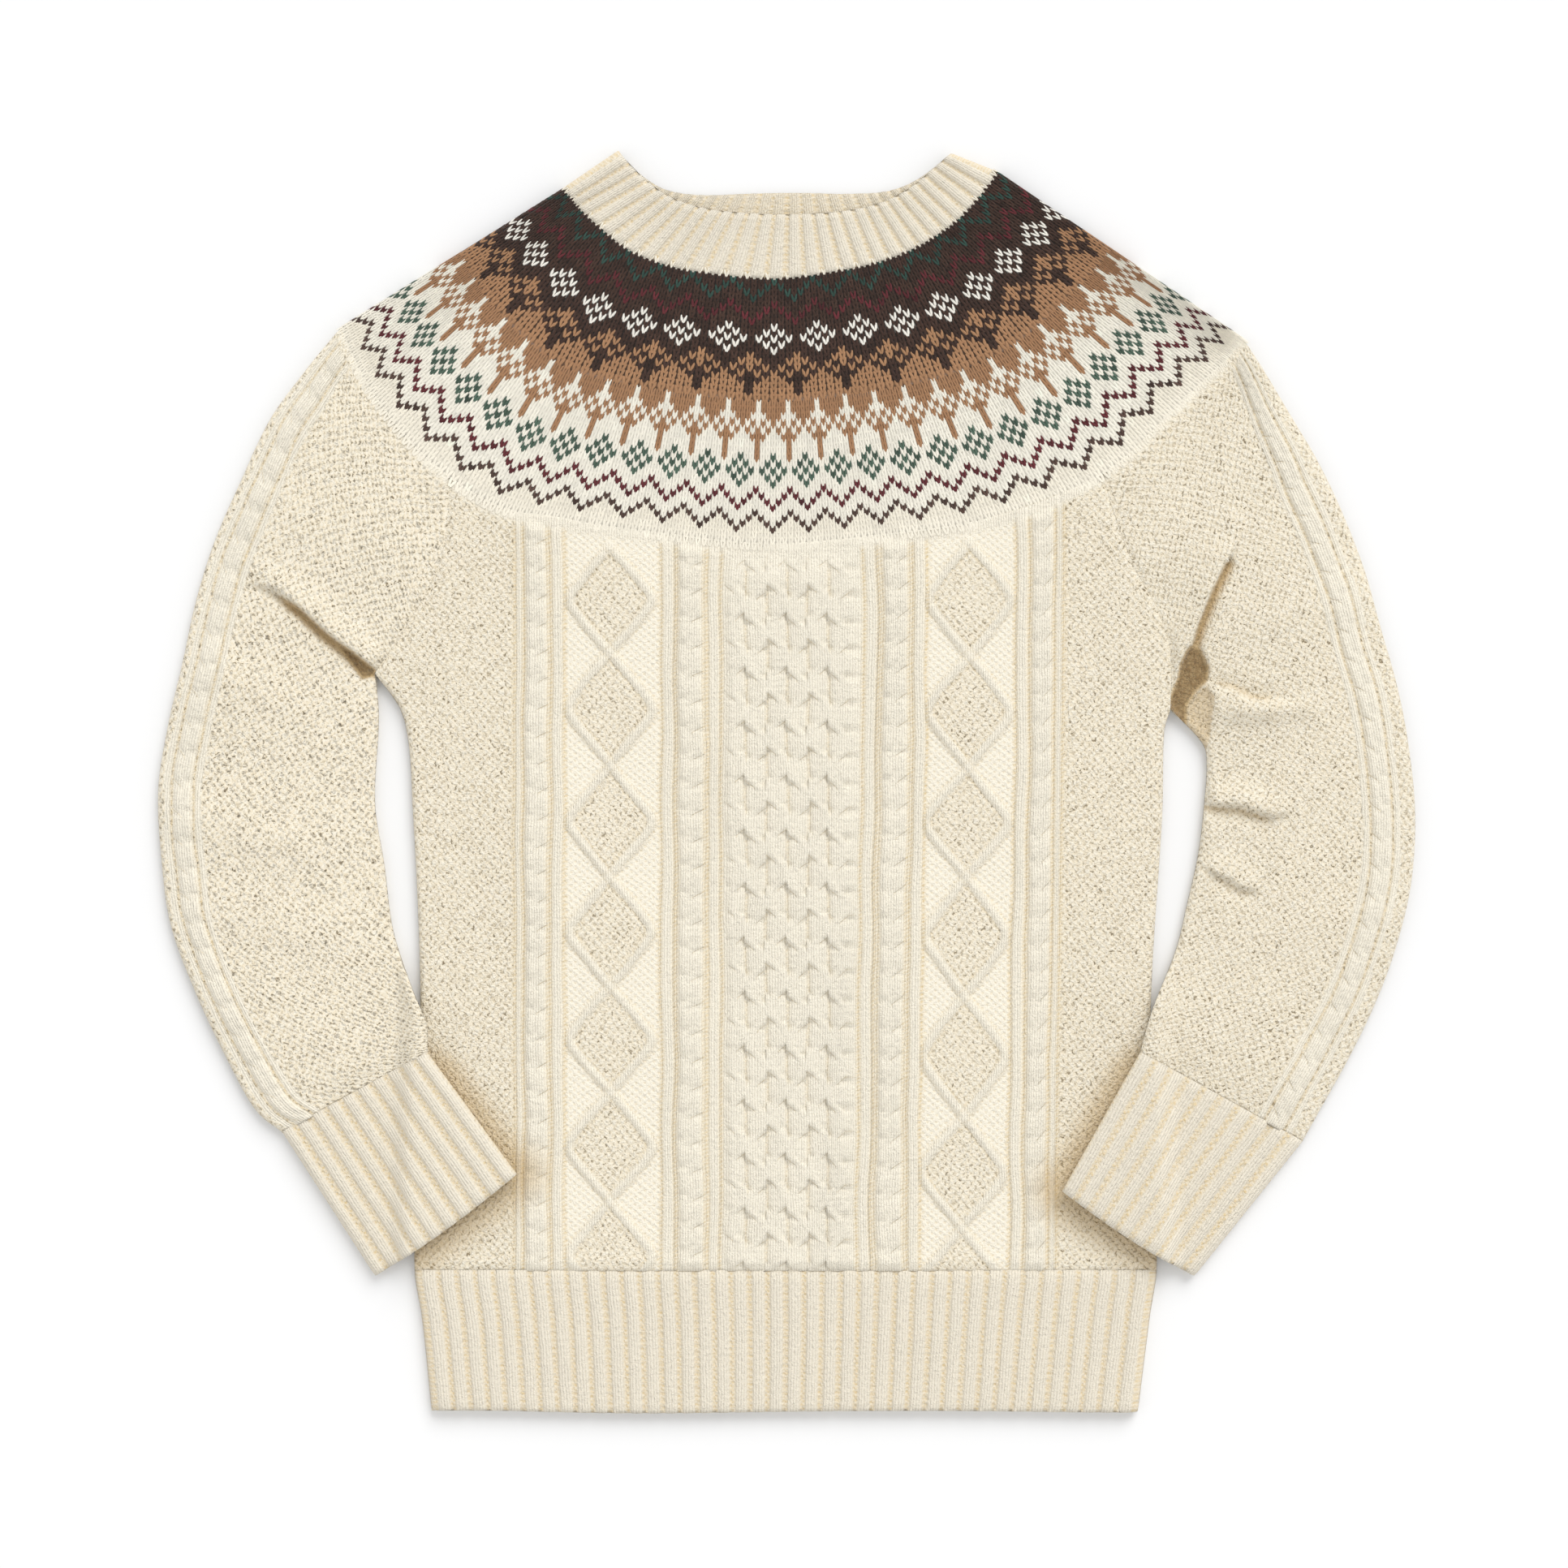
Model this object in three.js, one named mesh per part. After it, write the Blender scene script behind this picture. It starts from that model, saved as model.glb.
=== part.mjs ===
// A cream cable knit jumper with a round fair isle yoke, laid flat with its front up.
// Millimetres. X runs across the garment, Y towards the neck and Z up from the surface it lies on.
import * as THREE from "three";

const { lerp, clamp, smoothstep } = THREE.MathUtils;

// Cloth
const WALL = 3; // one knitted layer
const LAYER_GAP = 1; // air between the two layers of the flat garment
const HALF_SEAM = 0.17; // each piece stands back this far from a seam
const HALF_THICK = WALL + LAYER_GAP / 2; // from the middle of the garment to its outer face
const FRONT_TOP = 2 * HALF_THICK;

// Raised knitting
const RIB_RAISE = 1.3;
const FINE_RIB_RAISE = 1.1;
const ROPE_RAISE = 2.1;
const ROPE_DIP = 0.9;
const ROPE_TURN = 14.6; // length of one turn of a rope cable
const ROPE_CREST = 0.42; // where a strand's crest runs, between the rope's middle and its edge
const ROPE_LEAN = 3.2; // how far a strand climbs on each side of the rope's middle
const DIAMOND_RAISE = 1.7;
const DIAMOND_HALF_WIDTH = 22;
const DIAMOND_LINE = 2.2; // half width of a travelling line
const DIAMOND_FILL = 0.7;
const HONEYCOMB_RAISE = 1.9;
const HONEYCOMB_CELL = 0.3; // the ground in the middle of a cell
const HONEYCOMB_TURN = 28.6; // from one cell to the next one below it
const HONEYCOMB_PITCH = 11;
const HONEYCOMB_LINES = 6;
const HONEYCOMB_SWAY = 2.4;
const HONEYCOMB_MIDDLE = 0.9;
const HONEYCOMB_TOP_Y = 112;
const START_LENGTH = 5; // raised stitches reach their height this far below the yoke
const RELIEF_CLEARANCE = 0.4; // a sleeve lies this far above the tallest cable

// Lengths and counts
const HEM_SEAM_Y = -260;
const HEM_END_Y = -334.5;
const HEM_RIBS = 40;
const CUFF_RIBS = 12;
const COLLAR_RIBS = 30;
const BACK_NECK_RISE = 12; // the back of the neck is this much higher than the front
const LEFT_UNDERARM_Y = 57;
const RIGHT_UNDERARM_Y = 38;

// Cream yarn, and the brown that most of the yoke shows from a distance
const CREAM = 0xf0e8d4;
const YOKE_BROWN = 0x8a6a52;

// Rows of facets along the plain and the ribbed stretches
const PLAIN_ROWS = 6;
const PLAIN_COLUMNS = 26;
const RIB_ROWS = 7;
const MOSS_ROWS = 14;
const SIDE_ROWS = 12;
const CURVE_SAMPLES = 400;

function table(names, rows) {
  const keys = names.split(" ");
  return rows.map((row) => Object.fromEntries(row.map((value, column) => [keys[column], value])));
}

// Yoke and collar, one row for each station across the front: where the collar's rim, the neck seam
// and the yoke's edge cross it. The repeat counts small motifs of the yoke from the centre front.
const STATIONS = table("repeat rimX rimY neckX neckY edgeX edgeY", [
  [-13, -89, 334.5, -119, 314, -236, 241],
  [-12, -84, 328, -114, 309, -230, 225],
  [-10.5, -76, 320, -108, 302, -217, 202],
  [-8.75, -66, 312, -96, 291, -191, 171],
  [-7, -56, 307, -83, 281, -155, 146],
  [-5.25, -44, 303.5, -66, 274, -117, 138],
  [-3.5, -31, 301.5, -49, 270, -77, 132],
  [0, -3, 300, -6, 266, -7, 125],
  [3.5, 24, 301, 33, 271, 62, 131],
  [5.25, 38, 303, 50, 275, 102, 137],
  [7, 50, 306, 66, 281, 141, 149],
  [8.75, 61, 311, 80, 289, 178, 169],
  [10.5, 71, 318, 92, 298, 207, 198],
  [12.25, 80, 326, 103, 310, 232, 221],
  [14, 88, 333, 113, 323, 243, 235],
]);
const FIRST_REPEAT = -13;
const LAST_REPEAT = 14;

// Armhole seams, from the yoke's edge down to the underarm
const LEFT_RAGLAN = table("y x", [[57, -218], [82, -201], [117, -183], [160, -178]]);
const RIGHT_RAGLAN = table("y x", [[38, 204], [69, 204], [91, 197], [113, 185], [145, 173], [163, 168]]);

// Side seams of the body, from the hem up to the underarm
const LEFT_SIDE = table("y x", [
  [-334.5, -188], [-286, -193], [-260, -197], [-189, -196], [-113, -194], [-16, -198], [34, -203],
  [57, -218],
]);
const RIGHT_SIDE = table("y x", [
  [-334.5, 187], [-280, 194], [-260, 197], [-189, 195], [-116, 194], [-17, 200], [26, 201], [38, 204],
]);

// Underarm edges of the sleeves, from the cuff seam up to the underarm
const LEFT_INSEAM = table("y x", [
  [-144, -189], [-128, -190], [-111, -197], [-81, -208], [-45, -213], [-12, -218], [34, -216], [57, -218],
]);
const RIGHT_INSEAM = table("y x", [
  [-144, 187], [-120, 194], [-90, 207], [-66, 213], [-39, 219], [-14, 222], [10, 223.5], [20, 221],
  [38, 204],
]);

// Sleeves, one row for each section: the outer fold, and the height where the section ends inside
const LEFT_SLEEVE = table("outerX outerY innerY", [
  [-236, 241, 160], [-246, 229, 136], [-257, 215, 117], [-274, 191, 99], [-290, 157, 82], [-303, 127, 69],
  [-313, 95, 57], [-320, 63, 36], [-328, 28, 12], [-333, -6, -12], [-331, -45, -45], [-326, -78, -81],
  [-313, -113, -109], [-298, -145, -126], [-282, -174, -138], [-267, -187, -144],
]);
const RIGHT_SLEEVE = table("outerX outerY innerY", [
  [243, 235, 163], [254, 218, 140], [268, 194, 117], [282, 170, 96], [295, 143, 76], [307, 112, 57],
  [316, 80, 38], [324, 52, 24], [330, 22, 6], [334, -16, -18], [332, -54, -44], [324, -88, -70],
  [313, -118, -94], [299, -147, -116], [284, -174, -134], [274, -192, -144],
]);
const LEFT_CUFF = {
  seamOuter: [-267, -187], seamInner: [-189, -144], endOuter: [-218, -263], endInner: [-142, -208],
};
const RIGHT_CUFF = {
  seamOuter: [274, -192], seamInner: [187, -144], endOuter: [217, -263], endInner: [146, -217],
};
const LEFT_ROPE_FROM_FOLD = 13.5;
const RIGHT_ROPE_FROM_FOLD = 18;
const SLEEVE_ROPE_HALF_WIDTH = 5.6;
const SLEEVE_ROPE_LENGTH = 430;

// Cable chart of the front: the middle of each column of raised stitches
const DOUBLE_RIBS = [-121, -62.4, -38, 45.2, 71.2, 125.6];
const DOUBLE_RIB_HALF_WIDTH = 3.2;
const SINGLE_RIBS = [-141.4, 145];
const SINGLE_RIB_HALF_WIDTH = 1.9;
const ROPES = table("x halfWidth", [[-132.3, 6], [-50.5, 6.8], [58.4, 6.8], [136.2, 5.8]]);
const DIAMONDS = [
  { x: -94, crossings: [124, 68, 8, -51, -109, -165, -223, -281] },
  { x: 97.4, crossings: [126, 66, 7, -51, -114, -178, -237, -296] },
];
const LEAN_AT_HEM = -4; // the columns right of the middle panel lean in by this much
const LEAN_FROM_X = 20;
const LEAN_BLEND = 20;

// Large folds of the front layer, one row for each ridge
const FOLDS = table("x1 y1 x2 y2 width height", [
  [-289, 106, -262, 90, 8, 3.2],
  [-262, 90, -224, 60, 9, 4.2],
  [238, 134, 220, 92, 9, 3.6],
  [220, 92, 211, 52, 8, 4.6],
  [230, 44, 274, 44, 7, 2.6],
  [230, -20, 276, -26, 8, 2.8],
  [230, -38, 262, -52, 8, 2.2],
  [-300, 60, -262, 40, 10, 2],
  [-318, -20, -262, -34, 12, 1.8],
]);
const SLEEVE_PUFF = 2.4;
const PUFF_FROM_EDGE = 12; // the front of a sleeve rises over this distance from its fold and seam

// Curves through table rows

function through(rows, key, name) {
  const sorted = [...rows].sort((a, b) => a[key] - b[key]);
  const knots = sorted.map((row) => row[key]);
  const values = sorted.map((row) => row[name]);
  const last = knots.length - 1;
  const slope = (i) => {
    const before = Math.max(i - 1, 0);
    const after = Math.min(i + 1, last);
    return (values[after] - values[before]) / (knots[after] - knots[before]);
  };
  return (q) => {
    const at = clamp(q, knots[0], knots[last]);
    let i = 0;
    while (i < last - 1 && at > knots[i + 1]) i += 1;
    const span = knots[i + 1] - knots[i];
    const f = (at - knots[i]) / span;
    const rise = values[i + 1] - values[i];
    const bend = f * (1 - f) * ((1 - f) * (slope(i) * span - rise) - f * (slope(i + 1) * span - rise));
    return values[i] + rise * f + bend;
  };
}

const station = {};
for (const name of ["rimX", "rimY", "neckX", "neckY", "edgeX", "edgeY"]) {
  station[name] = through(STATIONS, "repeat", name);
}
const leftRaglan = through(LEFT_RAGLAN, "y", "x");
const rightRaglan = through(RIGHT_RAGLAN, "y", "x");
const leftSide = through(LEFT_SIDE, "y", "x");
const rightSide = through(RIGHT_SIDE, "y", "x");

const mix = (a, b, f) => a.map((value, axis) => lerp(value, b[axis], f));
const distance = (a, b) => Math.hypot(b[0] - a[0], b[1] - a[1]);
const steps = (count) => [...Array(count + 1).keys()];
const range = (count, from = 0, to = 1) => steps(count).map((i) => lerp(from, to, i / count));

// Outer face of a flattened tube, as its height over the middle, at a distance from the fold
function roundEdge(fromFold) {
  const inset = HALF_THICK - clamp(fromFold, 0, HALF_THICK);
  return Math.sqrt(HALF_THICK ** 2 - inset ** 2);
}

// The surface that sleeves and cuffs lie on: the floor, rising over the side of the body
const SUPPORT_TOP = FRONT_TOP + ROPE_RAISE + RELIEF_CLEARANCE;
const SUPPORT_RAMP = 14;
const CROSSING_Y = -60; // a sleeve starts to climb below this height
const CROSSING_RAMP = 40;

function support(x, y) {
  const inside = Math.min(x - leftSide(y), rightSide(y) - x);
  const over = smoothstep(inside, -SUPPORT_RAMP, 0);
  const along = smoothstep(CROSSING_Y - y, 0, CROSSING_RAMP);
  return SUPPORT_TOP * over * along;
}

function foldRidge(x, y) {
  let height = 0;
  for (const fold of FOLDS) {
    const dx = fold.x2 - fold.x1;
    const dy = fold.y2 - fold.y1;
    const f = clamp(((x - fold.x1) * dx + (y - fold.y1) * dy) / (dx * dx + dy * dy), 0, 1);
    const away = Math.hypot(x - fold.x1 - f * dx, y - fold.y1 - f * dy) / fold.width;
    height = Math.max(height, fold.height * Math.exp(-away * away));
  }
  return height;
}

// Walls. A sheet is a row of columns of points, and a wall is an outer and an inner sheet with their
// edges joined. Each point knows where it stands along its column and across the sheet.

class Wall {
  constructor() {
    this.points = [];
    this.faces = [];
  }

  place(columns) {
    return columns.map((column) =>
      column.map(({ at, along, across }) => ({ index: this.points.push(at) - 1, along, across })));
  }

  join(left, right, measure) {
    let i = 0;
    let j = 0;
    while (i < left.length - 1 || j < right.length - 1) {
      const leftNext = j === right.length - 1
        || (i < left.length - 1 && left[i + 1][measure] <= right[j + 1][measure]);
      if (leftNext) {
        this.faces.push([left[i].index, left[i + 1].index, right[j].index]);
        i += 1;
      } else {
        this.faces.push([left[i].index, right[j + 1].index, right[j].index]);
        j += 1;
      }
    }
  }

  sheets(outer, inner) {
    for (let c = 0; c < outer.length - 1; c += 1) this.join(outer[c], outer[c + 1], "along");
    for (let c = 0; c < inner.length - 1; c += 1) this.join(inner[c + 1], inner[c], "along");
  }

  rims(outer, inner) {
    const first = (columns) => columns.map((column) => column[0]);
    const last = (columns) => columns.map((column) => column[column.length - 1]);
    this.join(first(outer), first(inner), "across");
    this.join(last(inner), last(outer), "across");
  }

  mesh(name, colour) {
    const corner = this.points.map((point) => new THREE.Vector3(...point));
    let volume = 0;
    for (const [a, b, c] of this.faces) {
      volume += corner[a].dot(new THREE.Vector3().crossVectors(corner[b], corner[c]));
    }
    const outward = volume > 0 ? this.faces : this.faces.map(([a, b, c]) => [a, c, b]);
    const geometry = new THREE.BufferGeometry();
    geometry.setAttribute("position", new THREE.Float32BufferAttribute(this.points.flat(), 3));
    geometry.setIndex(outward.flat());
    geometry.computeVertexNormals();
    const material = new THREE.MeshStandardMaterial({ color: colour, roughness: 0.95, metalness: 0 });
    const mesh = new THREE.Mesh(geometry, material);
    mesh.name = name;
    return mesh;
  }
}

// A wall with four free edges, such as a front or a sleeve with its seam open
function panel(name, colour, outerColumns, innerColumns) {
  const wall = new Wall();
  const outer = wall.place(outerColumns);
  const inner = wall.place(innerColumns);
  wall.sheets(outer, inner);
  wall.rims(outer, inner);
  wall.join(inner[0], outer[0], "along");
  wall.join(outer[outer.length - 1], inner[inner.length - 1], "along");
  return wall.mesh(name, colour);
}

const RING_ROUND = 2; // across runs from 0 to 1 over the front and on to 2 over the back

// A wall that closes on itself, such as a collar
function ring(name, colour, outerColumns, innerColumns) {
  const wall = new Wall();
  const closed = (columns) => {
    const placed = wall.place(columns);
    const again = placed[0].map((point) => ({ ...point, across: point.across + RING_ROUND }));
    return [...placed, again];
  };
  const outer = closed(outerColumns);
  const inner = closed(innerColumns);
  wall.sheets(outer, inner);
  wall.rims(outer, inner);
  return wall.mesh(name, colour);
}

// Rope cable: heights of its two crests, whose strands climb from left to right
function ropeRows(from, to, side) {
  const rows = [];
  const shift = side * ROPE_LEAN;
  const halves = Math.floor((from - to - 2 * ROPE_LEAN) / (ROPE_TURN / 2));
  for (let k = 0; k <= halves; k += 1) {
    rows.push({ at: from - ROPE_LEAN - (k * ROPE_TURN) / 2 + shift, raise: k % 2 ? ROPE_DIP : ROPE_RAISE });
  }
  return [{ at: from, raise: 0 }, ...rows, { at: to, raise: ROPE_DIP }];
}

// Front and back of the body

const yokeLength = (repeat) => distance(
  [station.neckX(repeat), station.neckY(repeat)],
  [station.edgeX(repeat), station.edgeY(repeat)],
);

function yokePlan(repeat, v, rise = 0) {
  const neck = [station.neckX(repeat), station.neckY(repeat) + rise];
  return mix(neck, [station.edgeX(repeat), station.edgeY(repeat)], v);
}

function yokeSeam(repeat, side) {
  return yokePlan(repeat, 1 + (side * HALF_SEAM) / yokeLength(repeat));
}

const YOKE_EDGE_SAMPLES = range(CURVE_SAMPLES, FIRST_REPEAT, LAST_REPEAT)
  .map((repeat) => yokeSeam(repeat, 1));

function bodyTop(x) {
  const i = clamp(YOKE_EDGE_SAMPLES.findIndex((point) => point[0] > x), 1, YOKE_EDGE_SAMPLES.length - 1);
  const [before, after] = [YOKE_EDGE_SAMPLES[i - 1], YOKE_EDGE_SAMPLES[i]];
  return lerp(before[1], after[1], (x - before[0]) / (after[0] - before[0]));
}

// The repeat at which an armhole seam leaves the yoke's edge, where both curves meet
function repeatAtRaglan(raglan, from, to) {
  const gaps = range(CURVE_SAMPLES, from, to).map((repeat) => {
    const [x, y] = yokeSeam(repeat, 1);
    return { repeat, gap: Math.abs(raglan(y) - x) };
  });
  return gaps.reduce((best, item) => (item.gap < best.gap ? item : best)).repeat;
}
const LEFT_CORNER = repeatAtRaglan(leftRaglan, -9, -6);
const RIGHT_CORNER = repeatAtRaglan(rightRaglan, 6, 9);

const LEFT_EDGE = {
  raglan: leftRaglan, side: leftSide, sleeve: LEFT_SLEEVE, underarm: LEFT_UNDERARM_Y, corner: LEFT_CORNER,
  inward: 1,
};
const RIGHT_EDGE = {
  raglan: rightRaglan, side: rightSide, sleeve: RIGHT_SLEEVE, underarm: RIGHT_UNDERARM_Y,
  corner: RIGHT_CORNER, inward: -1,
};
const ARMHOLE_GAP = 0.22; // half the gap along an armhole seam, whose rows are chords of a curve

function bodyEdgeX(edge, y) {
  const curve = y > edge.underarm ? edge.raglan : edge.side;
  return curve(y) + edge.inward * ARMHOLE_GAP;
}

// How round the side of the body is: a cut seam beside the sleeve, a fold below the underarm
const SIDE_TURN = 12;

function bodyOuterHeight(edge, y, fromEdge) {
  const round = smoothstep(edge.underarm - y, 0, SIDE_TURN);
  return Math.max(lerp(HALF_THICK, roundEdge(fromEdge), round), HALF_SEAM);
}

function bodyInnerHeight(edge, y, isOutermost) {
  const round = smoothstep(edge.underarm - y, 0, SIDE_TURN);
  return isOutermost ? lerp(LAYER_GAP / 2, HALF_SEAM, round) : LAYER_GAP / 2;
}

function edgeRows(edge) {
  const top = yokeSeam(edge.corner, 1)[1];
  const armhole = edge.sleeve.map((row) => row.innerY).filter((y) => y < top - 2 && y > edge.underarm);
  return [top, ...armhole, ...range(SIDE_ROWS, edge.underarm, HEM_SEAM_Y + HALF_SEAM)];
}

function sideColumn(edge, fromEdge, layer, isInner = false) {
  return edgeRows(edge).map((row, i) => {
    const round = smoothstep(edge.underarm - row, 0, SIDE_TURN);
    const inset = isInner ? lerp(fromEdge - WALL, fromEdge, round) : fromEdge;
    const x = bodyEdgeX(edge, row) + edge.inward * inset;
    const y = i === 0 ? bodyTop(x) : row;
    const height = isInner
      ? bodyInnerHeight(edge, y, fromEdge === WALL)
      : bodyOuterHeight(edge, y, fromEdge);
    return { at: [x, y, HALF_THICK + layer * height], along: -y, across: x };
  });
}

function leaning(x, y) {
  const lean = LEAN_AT_HEM * clamp((x - LEAN_FROM_X) / LEAN_BLEND, 0, 1);
  return x + lean * smoothstep(-y, -HONEYCOMB_TOP_Y, -HEM_SEAM_Y);
}

// A column of the front at x, with its own rows of heights over the plain cloth
function frontColumn(x, rows, sway = () => 0) {
  const top = bodyTop(x);
  const bottom = HEM_SEAM_Y + HALF_SEAM;
  const kept = rows.filter(({ at }) => at < top - 2 && at > bottom + 2);
  const ends = [{ at: top, raise: 0 }, ...kept, { at: bottom, raise: kept.at(-1).raise }];
  return ends.map(({ at: y, raise }) => {
    const place = y === top ? x : leaning(x, y) + sway(y);
    const start = smoothstep(top - y, 0, START_LENGTH);
    return { at: [place, y, FRONT_TOP + raise * start], along: -y, across: place };
  });
}

function evenColumn(x, raise, count = RIB_ROWS) {
  return frontColumn(x, range(count, bodyTop(x) - START_LENGTH, HEM_SEAM_Y).map((at) => ({ at, raise })));
}

function ribColumns(x, ribs, halfWidth) {
  return range(2 * ribs, x - halfWidth, x + halfWidth)
    .map((place, k) => evenColumn(place, k % 2 ? FINE_RIB_RAISE : 0));
}

function ropeColumns({ x, halfWidth }) {
  const crest = ROPE_CREST * halfWidth;
  const rows = (side) => ropeRows(bodyTop(x) - START_LENGTH, HEM_SEAM_Y, side);
  return [
    evenColumn(x - halfWidth, 0, 2 * RIB_ROWS),
    frontColumn(x - crest, rows(-1)),
    frontColumn(x + crest, rows(1)),
    evenColumn(x + halfWidth, 0, 2 * RIB_ROWS),
  ];
}

// Diamonds: two travelling lines that cross, part and cross again, round a filled middle
function diamondColumns({ x, crossings }) {
  const rows = [];
  crossings.slice(0, -1).forEach((start, i) => {
    for (const f of [0, 0.25, 0.5, 0.75]) rows.push({ at: lerp(start, crossings[i + 1], f), f });
  });
  const apart = (y) => {
    const i = crossings.findIndex((crossing, k) => k > 0 && crossing <= y);
    const row = Math.max(i, 1);
    const f = clamp((crossings[row - 1] - y) / (crossings[row - 1] - crossings[row]), 0, 1);
    return DIAMOND_HALF_WIDTH * (1 - Math.abs(2 * f - 1));
  };
  const line = (side, offset) => {
    const sway = (y) => {
      const middle = Math.max(apart(y), DIAMOND_LINE * 0.5) + offset * DIAMOND_LINE;
      return side * Math.max(middle, DIAMOND_LINE * (0.2 + 0.15 * (offset + 1)));
    };
    const raise = offset === 0 ? DIAMOND_RAISE : 0;
    return frontColumn(x, rows.map(({ at, f }) => ({ at, raise: f === 0 ? DIAMOND_RAISE : raise })), sway);
  };
  const fill = rows.map(({ at, f }) => ({ at, raise: f === 0 ? DIAMOND_RAISE : DIAMOND_FILL }));
  return [line(-1, 1), line(-1, 0), line(-1, -1), frontColumn(x, fill), line(1, -1), line(1, 0), line(1, 1)];
}

// Honeycomb: wavy lines that meet and part in turn round small cells
function honeycombColumns() {
  const turns = Math.floor((HONEYCOMB_TOP_Y - HEM_SEAM_Y) / HONEYCOMB_TURN);
  const rows = range(turns * 4, HONEYCOMB_TOP_Y, HONEYCOMB_TOP_Y - turns * HONEYCOMB_TURN);
  const phase = (y) => Math.cos((2 * Math.PI * (HONEYCOMB_TOP_Y - y)) / HONEYCOMB_TURN);
  const left = HONEYCOMB_MIDDLE - (HONEYCOMB_LINES * HONEYCOMB_PITCH) / 2;
  const columns = [evenColumn(left, 0)];
  for (let k = 0; k < HONEYCOMB_LINES; k += 1) {
    const turn = k % 2 ? -1 : 1;
    const x = left + (k + 0.5) * HONEYCOMB_PITCH;
    const crest = rows.map((at) => ({ at, raise: HONEYCOMB_RAISE }));
    columns.push(frontColumn(x, crest, (y) => turn * HONEYCOMB_SWAY * phase(y)));
    const closed = (y) => 0.25 + 0.25 * turn * phase(y);
    const cell = rows.map((at) => ({ at, raise: HONEYCOMB_CELL + HONEYCOMB_RAISE * closed(at) }));
    if (k < HONEYCOMB_LINES - 1) columns.push(frontColumn(x + HONEYCOMB_PITCH / 2, cell));
  }
  return [...columns, evenColumn(left + HONEYCOMB_LINES * HONEYCOMB_PITCH, 0)];
}

// Columns of the moss stitch between the side of the body and its first cable
function mossColumns(edge, toward, count) {
  const bottom = HEM_SEAM_Y + HALF_SEAM;
  return range(count, 0, 1).slice(1, -1).map((f) => {
    const placeAt = (y) => lerp(bodyEdgeX(edge, y) + edge.inward * HALF_THICK, leaning(toward, y), f);
    let top = yokeSeam(edge.corner, 1)[1];
    for (let k = 0; k < 3; k += 1) top = bodyTop(placeAt(top));
    return range(MOSS_ROWS, top, bottom)
      .map((y) => ({ at: [placeAt(y), y, FRONT_TOP], along: -y, across: placeAt(y) }));
  });
}

function bodyFront() {
  const doubleRib = (k) => ribColumns(DOUBLE_RIBS[k], 2, DOUBLE_RIB_HALF_WIDTH);
  const singleRib = (k) => ribColumns(SINGLE_RIBS[k], 1, SINGLE_RIB_HALF_WIDTH);
  const outer = [
    ...[0, 1, HALF_THICK].map((fromEdge) => sideColumn(LEFT_EDGE, fromEdge, 1)),
    ...mossColumns(LEFT_EDGE, SINGLE_RIBS[0], 4),
    ...singleRib(0), ...ropeColumns(ROPES[0]), ...doubleRib(0), ...diamondColumns(DIAMONDS[0]),
    ...doubleRib(1), ...ropeColumns(ROPES[1]), ...doubleRib(2), ...honeycombColumns(),
    ...doubleRib(3), ...ropeColumns(ROPES[2]), ...doubleRib(4), ...diamondColumns(DIAMONDS[1]),
    ...doubleRib(5), ...ropeColumns(ROPES[3]), ...singleRib(1),
    ...mossColumns(RIGHT_EDGE, SINGLE_RIBS[1], 4).reverse(),
    ...[HALF_THICK, 1, 0].map((fromEdge) => sideColumn(RIGHT_EDGE, fromEdge, 1)),
  ];
  return panel("body_front", CREAM, outer, bodyInside(1));
}

// Plain face of a body panel: the inside of both, and the whole form of the one that rests flat
const PLAIN_FROM_EDGE = 8;

function plainColumns(height, layer) {
  const from = yokeSeam(LEFT_CORNER, 1)[0] + PLAIN_FROM_EDGE;
  const to = yokeSeam(RIGHT_CORNER, 1)[0] - PLAIN_FROM_EDGE;
  return range(PLAIN_COLUMNS, from, to).map((x) => range(PLAIN_ROWS, bodyTop(x), HEM_SEAM_Y + HALF_SEAM)
    .map((y) => ({ at: [x, y, HALF_THICK + layer * height], along: -y, across: x })));
}

function bodyInside(layer) {
  return [
    ...[WALL, WALL + 1].map((fromEdge) => sideColumn(LEFT_EDGE, fromEdge, layer, true)),
    ...plainColumns(LAYER_GAP / 2, layer),
    ...[WALL + 1, WALL].map((fromEdge) => sideColumn(RIGHT_EDGE, fromEdge, layer, true)),
  ];
}

function bodyBack() {
  const outer = [
    ...[0, 1, HALF_THICK].map((fromEdge) => sideColumn(LEFT_EDGE, fromEdge, -1)),
    ...plainColumns(HALF_THICK, -1),
    ...[HALF_THICK, 1, 0].map((fromEdge) => sideColumn(RIGHT_EDGE, fromEdge, -1)),
  ];
  return panel("body_back", CREAM, outer, bodyInside(-1));
}

// Hem ribs

// One rib's two furrow edges and two crest edges, as parts of the distance from rib to rib
const RIB_SHAPE = table("place raise", [[0.06, 0], [0.24, 0], [0.38, RIB_RAISE], [0.92, RIB_RAISE]]);

function ribPlaces(ribs, from, to) {
  const places = [];
  for (let k = 0; k < ribs; k += 1) {
    for (const { place, raise } of RIB_SHAPE) {
      places.push({ fraction: lerp(from, to, (k + place) / ribs), raise });
    }
  }
  return places;
}

function hemColumn(fraction, fromEdge, height, layer) {
  return range(3, HEM_SEAM_Y - HALF_SEAM, HEM_END_Y).map((y) => {
    const across = fraction + fromEdge / (rightSide(y) - leftSide(y));
    const x = lerp(leftSide(y), rightSide(y), across);
    return { at: [x, y, HALF_THICK + layer * height], along: -y, across };
  });
}

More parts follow.
